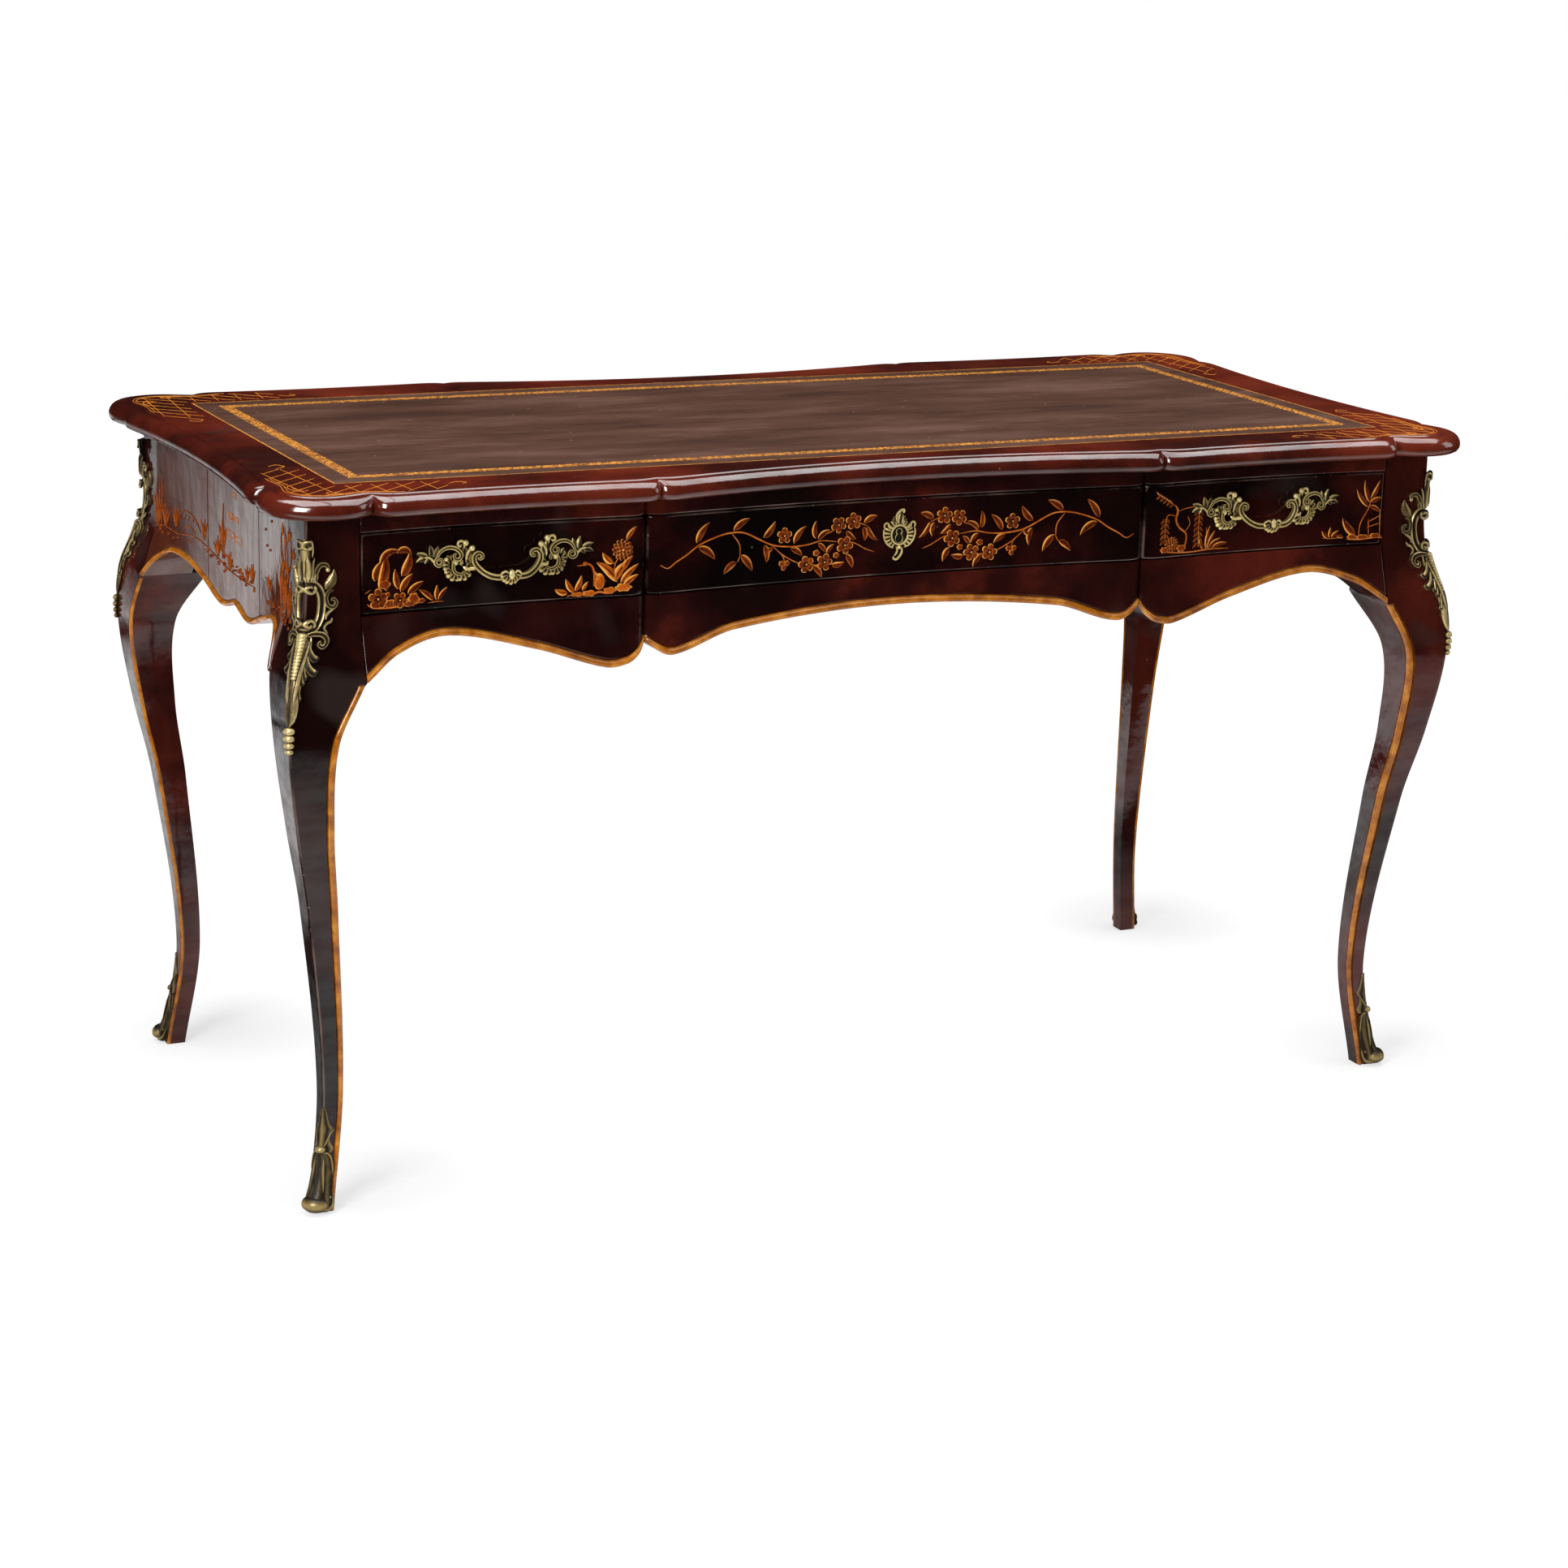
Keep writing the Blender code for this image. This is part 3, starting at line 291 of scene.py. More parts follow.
def build_leg(side, end, name):
    points, marks = [], {"wear_and_highlight": [], "gilt": []}
    rings = []
    for z in leg_levels():
        reach, width = leg_reach(z), leg_reach(z) - leg_inner(z)
        bead = min(LEG_BEAD, BEAD_SHARE * width)
        strength = 1.0 - smooth_step((z - HIP + HIP_FADE) / HIP_FADE)
        ring = leg_half_section(width, bead, strength) + [(width, width, 0.0, 0.0)]
        side_half = leg_half_section(width, SIDE_BEAD * bead, max(0, end) * strength)
        ring += [(b, a, wear_and_highlight, gilt) for a, b, wear_and_highlight, gilt in reversed(side_half)]
        rings.append(ring)
        for a, b, wear_and_highlight, gilt in ring:
            points.append((side * (HALF_LENGTH + reach - a), end * (HALF_DEPTH + reach - b), z))
            marks["wear_and_highlight"].append(wear_and_highlight)
            marks["gilt"].append(gilt)
    piece = piece_from(f"visual_leg_{name}", points, skin(rings), DARK_LACQUER, "frame", marks)
    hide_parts(f"leg_{name}")


CORNERS = [(side, end, f"{end_name}_{side_name}") for end, end_name in ((-1, "front"), (1, "back"))
           for side, side_name in ((-1, "left"), (1, "right"))]
for side, end, name in CORNERS:
    build_leg(side, end, name)


# Frieze. Rails, shaped aprons, side panels and the fixed fronts of the back are lacquered boards
# let in between the posts. Their faces are hollowed in plan and break at the drawer divisions;
# the lower edges are cut to scrolls and carry the same gilt bead under a fine quirk.

BREAK_X = 0.3005
FRIEZE_BACK, RAIL_BACK, SIDE_BACK = 0.262, 0.236, 0.634
FLARE_SPAN = 0.110
APRON_BEAD = 0.0078
EDGE_ROUND = 0.0013


RED_LACQUER = lacquer("red_brown_apron_lacquer", (0.0078, 0.0018, 0.0017), (0.0310, 0.0050, 0.0040),
                      (0.1240, 0.0164, 0.0080))
SIDE_LACQUER = lacquer("brown_side_lacquer", (0.038, 0.0074, 0.0036), (0.092, 0.0205, 0.0084),
                       (0.140, 0.0370, 0.0150), gloss=2.5, along=(1.0, 1.6, 0.3))
BLACK_LACQUER = lacquer("black_brown_lacquer", (0.0026, 0.0009, 0.0009), (0.0098, 0.0018, 0.0016),
                        (0.0440, 0.0060, 0.0040))


def notched(distance, drop, width):
    """How far a rounded shoulder falls, this far from the notch that it falls into."""
    if distance >= width:
        return 0.0
    return drop * (1 - math.sqrt(1 - (1 - distance / width) ** 2))


def hollowed(t, start, end, depth):
    middle, half = (start + end) / 2, (end - start) / 2
    return depth * (1 - ((t - middle) / half) ** 2)


def frieze_front(x):
    """Distance of the frieze's face from the middle of the desk."""
    x = abs(x)
    notch = notched(abs(BREAK_X - x), 0.013, 0.022)
    if x <= BREAK_X:
        return HALF_DEPTH - hollowed(x, -BREAK_X, BREAK_X, 0.0165) - notch
    return HALF_DEPTH - hollowed(min(x, POST_X), BREAK_X, POST_X, 0.008) - notch


def side_face(y):
    return HALF_LENGTH - hollowed(y, -POST_Y, POST_Y, 0.017)


centre_edge = smooth_curve((BREAK_X, 0.590), (0.2705, 0.575), (0.1955, 0.596), (0.0, 0.609),
                           (-0.1955, 0.596))
bay_edge = smooth_curve((BREAK_X, 0.590), (0.3080, 0.5785), (0.3210, 0.5695), (0.3455, 0.567),
                        (0.4205, 0.591), (0.5195, 0.613),
                        (0.5785, 0.600), (POST_X, HIP))
side_half_edge = smooth_curve((0.0, 0.592), (0.050, 0.582), (0.110, 0.598), (POST_Y - 0.056, 0.613),
                              (POST_Y - 0.020, 0.598), (POST_Y, HIP))


def front_edge(x):
    return centre_edge(abs(x)) if abs(x) <= BREAK_X else bay_edge(abs(x))


def side_edge(y):
    return side_half_edge(abs(y))


def flare(along, post, z):
    """How far an apron swells out to meet the leg."""
    return leg_reach(z) * smooth_step((abs(along) - post + FLARE_SPAN) / FLARE_SPAN)


def positions(start, end, step, closer):
    """Even steps from start to end, with finer ones by the places named."""
    count = max(2, round((end - start) / step))
    spots = {round(start + (end - start) * i / count, 6) for i in range(count + 1)}
    for middle in closer:
        for d in (0.0, 0.0002, 0.0006, 0.0013, 0.0022, 0.0034, 0.0050, 0.0070, 0.0095):
            spots |= {round(middle - d, 6), round(middle + d, 6)}
    return sorted(s for s in spots if start <= s <= end)


def apron_section(low, high, bead):
    """Heights of a shaped board's face, how far each stands out, its wear and painted highlight, and its
    gilt.
    """
    radius = bead / 2
    run = [(high, 0.0, 0.5, 0.0), (high - 0.002, 0.0, 0.0, 0.0)]
    top = low + bead + 0.0016
    run += [(high - (high - top) * i / 8, 0.0, 0.0, 0.0) for i in range(1, 8)]
    # The full mark along the top of the quirk: a pale line of painted highlight.
    run += [(top, 0.0, 1.0, 0.0), (top - 0.0008, -0.0013, 0.0, 0.0)]
    for i in range(9):
        turn = math.pi * i / 8
        out = (radius + 0.0010) * math.sin(turn) - 0.0010
        run.append((low + radius + radius * math.cos(turn), out, 0.0, 1.0))
    run.append((low + 0.0003, -0.0034, 0.0, 0.0))
    return run


def rounded(distance):
    """How far an edge's rounding falls back, this far in from the edge."""
    if distance >= EDGE_ROUND:
        return 0.0
    return EDGE_ROUND - math.sqrt(EDGE_ROUND ** 2 - (EDGE_ROUND - distance) ** 2)


def build_apron(name, node, spots, edge, high, back, place, finish, bead=APRON_BEAD,
                gilded_at=lambda t: 1.0):
    """A board with a shaped and beaded lower edge; place(along, out of the face, z)."""
    points, marks, rings = [], {"wear_and_highlight": [], "gilt": []}, []
    for t in spots:
        low = edge(t)
        fall = rounded(min(t - spots[0], spots[-1] - t))
        ring = [(place(t, out - fall, z), max(wear_and_highlight, float(fall > 0)), gilt * gilded_at(t))
                for z, out, wear_and_highlight, gilt in apron_section(low, high, bead)]
        ring += [(back(t, low), 0.0, 0.0), (back(t, high), 0.0, 0.0)]
        rings.append(ring)
        for point, wear_and_highlight, gilt in ring:
            points.append(point)
            marks["wear_and_highlight"].append(wear_and_highlight)
            marks["gilt"].append(gilt)
    piece = piece_from(name, points, skin(rings), finish, "frame", marks)
    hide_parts(node)


for end, name in ((-1, "front"), (1, "back")):
    build_apron(
        f"visual_{name}_apron", f"{name}_skirt",
        positions(SEAT - POST_X, POST_X - SEAT, 0.004, (SEAT - POST_X, -BREAK_X, BREAK_X, POST_X - SEAT)),
        front_edge, DRAWER_LOW,
        lambda x, z, end=end: (x, end * FRIEZE_BACK, z),
        lambda x, out, z, end=end: (x, end * (frieze_front(x) + flare(x, POST_X, z) + out), z), RED_LACQUER)
SEAM_Y, SEAM_DEEP, SEAM_HALF = 0.095, 0.0008, 0.0009
SIDE_APRON_BEAD, GOLD_FADE = 0.0060, 0.045


def seam(y):
    """The open joint that runs down each side panel."""
    return SEAM_DEEP * max(0.0, 1 - abs(abs(y) - SEAM_Y) / SEAM_HALF)


for side, name in ((-1, "left"), (1, "right")):
    build_apron(
        f"visual_side_panel_{name}", f"side_panel_{name}",
        positions(SEAT - POST_Y, POST_Y - SEAT, 0.004, (SEAT - POST_Y, -SEAM_Y, 0.0, SEAM_Y,
                                                        POST_Y - SEAT)),
        side_edge, UNDER_TOP - SEAT, lambda y, z, side=side: (side * SIDE_BACK, y, z),
        lambda y, out, z, side=side: (side * (side_face(y) + flare(y, POST_Y, z) + out - seam(y)), y, z),
        SIDE_LACQUER, SIDE_APRON_BEAD, lambda y: smooth_step((y + POST_Y) / GOLD_FADE))


def frieze_board(name, start, end, low, high, facing, back, body, finish=BLACK_LACQUER):
    """A straight board with the frieze's hollow face and softly rounded edges, rubbed pale: part wear, part
    painted highlight.
    """
    edge_steps = (0.0, 0.25, 0.6, 1.0, 3.0)
    spots = positions(start + EDGE_ROUND * 4, end - EDGE_ROUND * 4, 0.005, (-BREAK_X, BREAK_X))
    spots = sorted({start + s * EDGE_ROUND for s in edge_steps} | set(spots)
                   | {end - s * EDGE_ROUND for s in edge_steps})
    points, wear_and_highlight, rings = [], [], []
    for x in spots:
        inside = min(x - start, end - x)
        face = frieze_front(x) - rounded(inside)
        end_wear = 1.0 if inside <= EDGE_ROUND * 1.01 else 0.0
        ring = []
        # Edges and ends take the full mark: a pale line, part rubbed wear and part painted highlight.
        for s in edge_steps:
            ring.append((low + s * EDGE_ROUND, face - rounded(s * EDGE_ROUND), 1.0 if s <= 1.0 else 0.0))
        for s in reversed(edge_steps):
            ring.append((high - s * EDGE_ROUND, face - rounded(s * EDGE_ROUND), 1.0 if s <= 1.0 else 0.0))
        ring += [(high, back, 0.0), (low, back, 0.0)]
        rings.append(ring)
        for z, y, rub in ring:
            points.append((x, facing * y, z))
            wear_and_highlight.append(max(rub, end_wear) if y > back else 0.0)
    return piece_from(name, points, skin(rings), finish, body,
                      {"wear_and_highlight": wear_and_highlight, "gilt": [0.0] * len(wear_and_highlight)})


REVEAL = 0.0015
BAYS = (("left", -POST_X + REVEAL, -BREAK_X - REVEAL), ("centre", -BREAK_X + REVEAL, BREAK_X - REVEAL),
        ("right", BREAK_X + REVEAL, POST_X - REVEAL))
for facing, name in ((-1, "front"), (1, "back")):
    rail = frieze_board(f"visual_{name}_rail", SEAT - POST_X, POST_X - SEAT, DRAWER_HIGH,
                        UNDER_TOP - SEAT, facing, RAIL_BACK, "frame", RED_LACQUER)
    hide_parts(f"{name}_rail")
    if facing < 0:
        front_rail = rail

# The mortise that the lock's bolt rises into, cut up into the front rail
MORTISE_SLACK, BOLT_TRAVEL = 0.001, 0.008
(low_x, low_y, low_z), (high_x, high_y, high_z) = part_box("lock_bolt")
corners = [(low_x - MORTISE_SLACK, low_y - MORTISE_SLACK), (high_x + MORTISE_SLACK, low_y - MORTISE_SLACK),
           (high_x + MORTISE_SLACK, high_y + MORTISE_SLACK),
           (low_x - MORTISE_SLACK, high_y + MORTISE_SLACK)]
levels = (low_z, high_z + BOLT_TRAVEL + MORTISE_SLACK)
mesh = turned_mesh("mortise", [(x, y, z) for z in levels for x, y in corners], skin([corners, corners]))
mortise = linked("mortise", mesh)
cut = front_rail.modifiers.new("mortise", "BOOLEAN")
cut.operation, cut.solver, cut.object = "DIFFERENCE", "EXACT", mortise
graph = bpy.context.evaluated_depsgraph_get()
hollow = bpy.data.meshes.new_from_object(front_rail.evaluated_get(graph))
front_rail.modifiers.clear()
front_rail.data = hollow
bpy.data.objects.remove(mortise)
bpy.data.meshes.remove(mesh)
for bay, start, end in BAYS:
    fixed = frieze_board(f"visual_back_front_{bay}", start, end, DRAWER_LOW + SEAT, DRAWER_HIGH - SEAT,
                         1, FRIEZE_BACK, "frame")
    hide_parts(f"back_front_{bay}")


# Top board. One red-brown lacquered board with four ears, notched at the breaks. Its edge is a
# rolled moulding with a fine groove inside it, worn pale along the crown of the roll.

LEATHER_X, LEATHER_Y, LEATHER_BED = 0.6285, 0.2586, 0.7687
TOP_FIELD = 0.7697

TOP_LACQUER = lacquer("red_brown_top_lacquer", (0.032, 0.0042, 0.0023), (0.098, 0.0114, 0.0049),
                      (0.172, 0.0235, 0.0086), 2.2, 0.11)


def top_outline():
    """The moulded edge, anticlockwise, in fine steps."""
    line_x, line_y = HALF_LENGTH + 0.043, HALF_DEPTH + 0.043
    ear_x, ear_y, radius = HALF_LENGTH - 0.063, HALF_DEPTH - 0.057, 0.062
    middle_x, middle_y = line_x - radius, line_y - radius
    first = math.acos((ear_x - middle_x) / radius)
    last = math.asin((ear_y - middle_y) / radius)

    def front(x):
        notch = notched(abs(BREAK_X - x), 0.014, 0.022)
        if x <= BREAK_X:
            return line_y - hollowed(x, -BREAK_X, BREAK_X, 0.036) - notch
        sunk = hollowed(x, BREAK_X, ear_x, 0.007)
        return line_y - sunk - notch - notched(ear_x - x, radius * (1 - math.sin(first)), 0.022)

    def side(y):
        sunk = hollowed(y, -ear_y, ear_y, 0.016)
        return line_x - sunk - notched(ear_y - y, radius * (1 - math.cos(last)), 0.022)

    quarter = [(x, front(x)) for x in positions(0.0, ear_x, 0.003, (BREAK_X, ear_x))]
    turn = [first + (last - first) * i / 48 for i in range(1, 48)]
    quarter += [(middle_x + radius * math.cos(a), middle_y + radius * math.sin(a)) for a in turn]
    quarter += [(side(y), y) for y in reversed(positions(0.0, ear_y, 0.003, (ear_y,)))]
    right = quarter + [(x, -y) for x, y in reversed(quarter) if y > 1e-6]
    return np.array(right + [(-x, y) for x, y in reversed(right) if x > 1e-6])


def evened(outline, step):
    """The closed outline again, in even steps along its length."""
    closed = np.vstack([outline, outline[:1]])
    run = np.concatenate([[0.0], np.cumsum(np.hypot(*np.diff(closed, axis=0).T))])
    marks = np.linspace(0.0, run[-1], round(run[-1] / step) + 1)[:-1]
    return np.stack([np.interp(marks, run, closed[:, k]) for k in (0, 1)], axis=1)


def relaxed(outline, rounds):
    """The outline with its notches smoothed away."""
    for _ in range(rounds):
        outline = (np.roll(outline, 1, axis=0) + 2 * outline + np.roll(outline, -1, axis=0)) / 4
    return outline


outline = evened(top_outline(), 0.0022)
calm = relaxed(outline, 90)
run = np.roll(calm, -1, axis=0) - np.roll(calm, 1, axis=0)
inwards = np.stack([run[:, 1], -run[:, 0]], axis=1) / np.hypot(*run.T)[:, None]
if np.sum(inwards * outline) > 0:
    inwards = -inwards
# Each step of the edge: how far in from the outline, its height, how calm it runs, its wear
EDGE_PROFILE = ((0.0200, 0.7480, 0.8, 0.0), (0.0110, 0.7480, 0.3, 0.0), (0.0060, 0.7484, 0.0, 0.1),
                (0.0025, 0.7502, 0.0, 0.3), (0.0006, 0.7530, 0.0, 0.5), (0.0000, 0.7562, 0.0, 0.66),
                (0.0003, 0.7592, 0.0, 0.72), (0.0013, 0.7622, 0.05, 0.72), (0.0030, 0.7650, 0.1, 0.72),
                (0.0055, 0.7673, 0.2, 0.66), (0.0085, 0.7688, 0.35, 0.5), (0.0118, 0.7695, 0.5, 0.3),
                (0.0150, 0.7694, 0.65, 0.1), (0.0172, 0.7685, 0.75, 0.0), (0.0184, 0.7674, 0.8, 0.0),
                (0.0193, 0.7688, 0.8, 0.2), (0.0202, TOP_FIELD, 0.8, 0.1), (0.0240, TOP_FIELD, 0.85, 0.0))
points, wear_and_highlight, rings = [], [], []
for inset, z, share, rub in EDGE_PROFILE:
    ring = outline * (1 - share) + calm * share + inwards * inset
    rings.append(ring)
    points += [(x, y, z) for x, y in ring]
    wear_and_highlight += [rub] * len(ring)
faces = skin(rings, capped=False)
count = len(outline)
faces.append(tuple(range(count)))
inner = [(len(rings) - 1) * count + i for i in range(count)]
leather_edge = []
for x, y, z in ((1, 1, TOP_FIELD), (-1, 1, TOP_FIELD), (-1, -1, TOP_FIELD), (1, -1, TOP_FIELD),
                (1, 1, LEATHER_BED), (-1, 1, LEATHER_BED), (-1, -1, LEATHER_BED), (1, -1, LEATHER_BED)):
    leather_edge.append(len(points))
    points.append((x * LEATHER_X, y * LEATHER_Y, z))
    wear_and_highlight.append(0.4)
shape = bmesh.new()
verts = [shape.verts.new(p) for p in points]
shape.verts.ensure_lookup_table()
field_edges = [shape.edges.new((verts[inner[i]], verts[inner[(i + 1) % count]])) for i in range(count)]
field_edges += [shape.edges.new((verts[leather_edge[i]],
                                 verts[leather_edge[(i + 1) % 4]])) for i in range(4)]
shape.verts.index_update()
filled = bmesh.ops.triangle_fill(shape, edges=field_edges, use_beauty=True, use_dissolve=False)
for face in filled["geom"]:
    if isinstance(face, bmesh.types.BMFace):
        faces.append(tuple(v.index for v in face.verts))
shape.free()
for i in range(4):
    j = (i + 1) % 4
    faces.append((leather_edge[i], leather_edge[j], leather_edge[4 + j], leather_edge[4 + i]))
faces.append(tuple(leather_edge[4:]))
top = piece_from("visual_top_board", points, faces, TOP_LACQUER, "frame",
                 {"wear_and_highlight": wear_and_highlight, "gilt": [0.0] * len(wear_and_highlight)}, crease=50.0)
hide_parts("top_board")


# Gilt lattice on the top. Painted gold lines in the four corners of the border: a curled double
# outline around a diamond diaper, worn thin in places.

def gilded(name, deep, fill, warm, pale, rough):
    """Painted or raised gold: the mark called tone runs from its dark ground to its palest edge; on raised
    work it also carries painted shade and painted highlight.
    """
    made, tree, shader, place = new_finish(name)
    patches = noise(tree, place, 70.0, 5.0, rough=0.65)
    fine = noise(tree, place, 420.0, 3.0)
    tone = sums(tree, "ADD", mark_of(tree, "tone"), ranged(tree, patches, 0.3, 0.7, -0.14, 0.14))
    tone = sums(tree, "ADD", tone, ranged(tree, fine, 0.3, 0.7, -0.07, 0.07))
    link(tree, shader, Base_Color=colours(tree, tone, (0.05, deep), (0.36, fill), (0.68, warm),
                                          (0.95, pale)))
    link(tree, shader, Roughness=ranged(tree, patches, 0.3, 0.7, rough - 0.08, rough + 0.12))
    shader.inputs["Specular IOR Level"].default_value = 0.15
    bumped(tree, shader, sums(tree, "ADD", fine, patches), 0.18, 0.0005)
    return made


GOLD_LINE = gilded("painted_gold_line", (0.16, 0.030, 0.004), (0.46, 0.125, 0.010), (0.70, 0.24, 0.022),
                   (0.80, 0.38, 0.07), 0.38)


def new_work():
    return {"points": [], "faces": [], "tone": []}


def sheet(work, grid, ring=False):
    """Adds a grid of (point, tone) rows; a ring joins its last column to its first."""
    first, count = len(work["points"]), len(grid[0])
    for row in grid:
        for point, tone in row:
            work["points"].append(point)
            work["tone"].append(tone)
    for r in range(len(grid) - 1):
        for i in range(count if ring else count - 1):
            j = (i + 1) % count
            near, far = first + r * count, first + (r + 1) * count
            work["faces"].append((near + i, near + j, far + j, far + i))


def smoothed(path, per=5):
    """A curve through the path's points, as an array."""
    path = [np.array(p, float) for p in path]
    ends = [2 * path[0] - path[1]] + path + [2 * path[-1] - path[-2]]
    out = []
    for p0, p1, p2, p3 in zip(ends, ends[1:], ends[2:], ends[3:]):
        for t in np.arange(per) / per:
            out.append(0.5 * (2 * p1 + (p2 - p0) * t + (2 * p0 - 5 * p1 + 4 * p2 - p3) * t * t
                              + (3 * p1 - p0 - 3 * p2 + p3) * t ** 3))
    return np.array(out + [path[-1]])


def stroke(work, lay, path, width, height, tones=(0.85, 0.5), taper=0.45, per=5, profile=None):
    """A raised line along a path of (across, up), thinning to its ends."""
    rim, top = tones
    profile = profile or ((-1, -0.2, rim), (-0.7, 0.7, rim), (0, 1, top), (0.7, 0.7, rim), (1, -0.2, rim))
    route = smoothed(path, per)
    last = len(route) - 1
    grid = []
    for i, (u, v) in enumerate(route):
        du, dv = route[min(i + 1, last)] - route[max(i - 1, 0)]
        size = math.hypot(du, dv) or 1.0
        half = width / 2 * (1 - (1 - taper) * abs(2 * i / last - 1) ** 4)
        grid.append([(lay(u - dv / size * half * s, v + du / size * half * s, height * rise), tone)
                     for s, rise, tone in profile])
    sheet(work, grid)


def finished(name, work, finish, body, crease=45.0):
    piece = piece_from(name, work["points"], work["faces"], finish, body, {"tone": work["tone"]}, crease)
    return piece


def on_top(x, y, h):
    return (x, y, TOP_FIELD + h)


calm_edge = calm + inwards * 0.019
CARTOUCHE_X, CARTOUCHE_Y = LEATHER_X - 0.112, LEATHER_Y - 0.098


def cartouche_depth(x, y):
    """How deep a point lies inside a corner's cartouche; below zero is outside."""
    x, y = abs(x), abs(y)
    from_leather = max(x - LEATHER_X, y - LEATHER_Y) - 0.006
    off = np.array((x, y)) - calm_edge
    near = np.argmin(np.sum(off * off, axis=1))
    from_roll = np.dot(off[near], inwards[near]) - 0.005
    arm = 0.022
    ends = min((x - CARTOUCHE_X), (y - CARTOUCHE_Y))
    rounding = arm - math.hypot(max(arm - from_leather, 0.0), max(arm - ends, 0.0)) if ends < arm else 1.0
    return min(from_leather, from_roll, ends, rounding + 0.012)


def lattice_runs(heading, offset):
    """The stretches of one straight line that lie inside the corner's cartouche."""
    ahead = (math.cos(heading), math.sin(heading))
    runs, now = [], []
    for k in range(-130, 130):
        x = LEATHER_X - offset * ahead[1] + 0.0015 * k * ahead[0]
        y = LEATHER_Y + offset * ahead[0] + 0.0015 * k * ahead[1]
        if x > CARTOUCHE_X and y > CARTOUCHE_Y and cartouche_depth(x, y) > 0.003:
            now.append((x, y))
        elif now:
            runs.append(now)
            now = []
    return [r for r in runs + [now] if len(r) > 4]


lattice_lines = []
for heading, gap in ((math.radians(95), 0.0265), (math.radians(42), 0.0190)):
    for k in range(-8, 9):
        for line in lattice_runs(heading, gap * (k + 0.3)):
            lattice_lines.append([line[0], line[len(line) // 2], line[-1]])


def cartouche_rim(level):
    """Points round the cartouche where it has this depth, in order."""
    found = []
    for k in range(150):
        angle = math.radians(-62 + 214 * k / 149)
        reach = np.arange(0.004, 0.19, 0.0012)
        spots = [(LEATHER_X + 0.020 + r * math.cos(angle),
                  LEATHER_Y + 0.018 + r * math.sin(angle)) for r in reach]
        deep = [p for p in spots if cartouche_depth(*p) > level]
        if deep:
            found.append(deep[-1])
    found = np.array(found)
    for _ in range(6):
        found[1:-1] = (found[:-2] + 2 * found[1:-1] + found[2:]) / 4
    return [tuple(p) for p in found]


rims = [cartouche_rim(0.001), cartouche_rim(0.0048)]
curls = [[(LEATHER_X - 0.112, LEATHER_Y + 0.030), (LEATHER_X - 0.122, LEATHER_Y + 0.022),
          (LEATHER_X - 0.132, LEATHER_Y + 0.027), (LEATHER_X - 0.126, LEATHER_Y + 0.033)],
         [(LEATHER_X + 0.030, LEATHER_Y - 0.098), (LEATHER_X + 0.018, LEATHER_Y - 0.108),
          (LEATHER_X + 0.024, LEATHER_Y - 0.119), (LEATHER_X + 0.034, LEATHER_Y - 0.112)]]
for reach in (0.005, 0.010):
    curls.append([(LEATHER_X + 0.041 + reach * math.cos(a), LEATHER_Y + 0.012 + 1.6 * reach * math.sin(a))
                  for a in np.linspace(-0.6, 2.4, 7)])
    curls.append([(LEATHER_X + 0.006 + 1.6 * reach * math.cos(a), LEATHER_Y + 0.046 + reach * math.sin(a))
                  for a in np.linspace(-0.9, 2.2, 7)])
work = new_work()
for side, end, name in CORNERS:
    def corner_lay(x, y, h, side=side, end=end):
        return on_top(side * x, end * y, h)
    for line in lattice_lines:
        stroke(work, corner_lay, line, 0.0009, 0.00016, (0.55, 0.68), 0.6, 3)
    for rim in rims:
        for start in range(0, len(rim) - 1, 12):
            part = rim[start:start + 13]
            if len(part) > 2:
                stroke(work, corner_lay, part, 0.0008, 0.00018, (0.55, 0.7), 0.9, 1)
    for curl in curls:
        stroke(work, corner_lay, curl, 0.0011, 0.00018, (0.55, 0.7), 0.3)
finished("gilt_lattice_corners", work, GOLD_LINE, "frame")


# Leather. A dark brown skin pasted into the recess of the top, scuffed and specked with age. A gold
# fillet is tooled along its edge and a band of gold leaf-work inside it.

LEATHER, tree, shader, place = new_finish("tooled_brown_leather")
parts = add_node(tree, "SeparateXYZ", {0: place})
far_x = sums(tree, "SUBTRACT", LEATHER_X - SEAT, sums(tree, "ABSOLUTE", parts.outputs["X"]))
far_y = sums(tree, "SUBTRACT", LEATHER_Y - SEAT, sums(tree, "ABSOLUTE", parts.outputs["Y"]))
inset = sums(tree, "MINIMUM", far_x, far_y)
along = add_node(tree, "Mix", {0: sums(tree, "LESS_THAN", far_x, far_y), 2: parts.outputs["X"],
                               3: parts.outputs["Y"]}).outputs[0]


def between(tree, value, low, high):
    return sums(tree, "MULTIPLY", sums(tree, "GREATER_THAN", value, low),
                sums(tree, "LESS_THAN", value, high))


BAND_START, BAND_END, REPEAT = 0.0262, 0.0376, 0.0170
wave = sums(tree, "SINE", sums(tree, "MULTIPLY", along, 2 * math.pi / REPEAT))
scallop = sums(tree, "SINE", sums(tree, "MULTIPLY", along, 4 * math.pi / REPEAT))
edge = sums(tree, "ADD", inset, sums(tree, "MULTIPLY", scallop, 0.0010))
band = between(tree, edge, BAND_START, BAND_END)
vine = sums(tree, "ADD", (BAND_START + BAND_END) / 2, sums(tree, "MULTIPLY", wave, 0.0034))
off_vine = sums(tree, "ABSOLUTE", sums(tree, "SUBTRACT", inset, vine))
flecks = add_node(tree, "TexVoronoi", {"Vector": place, "Scale": 215.0}).outputs["Distance"]
cut = sums(tree, "MAXIMUM", sums(tree, "LESS_THAN", off_vine, 0.0010),
           sums(tree, "LESS_THAN", flecks, 0.38))
leafwork = sums(tree, "MULTIPLY", band, sums(tree, "SUBTRACT", 1.0, sums(tree, "MULTIPLY", cut, 0.8)))
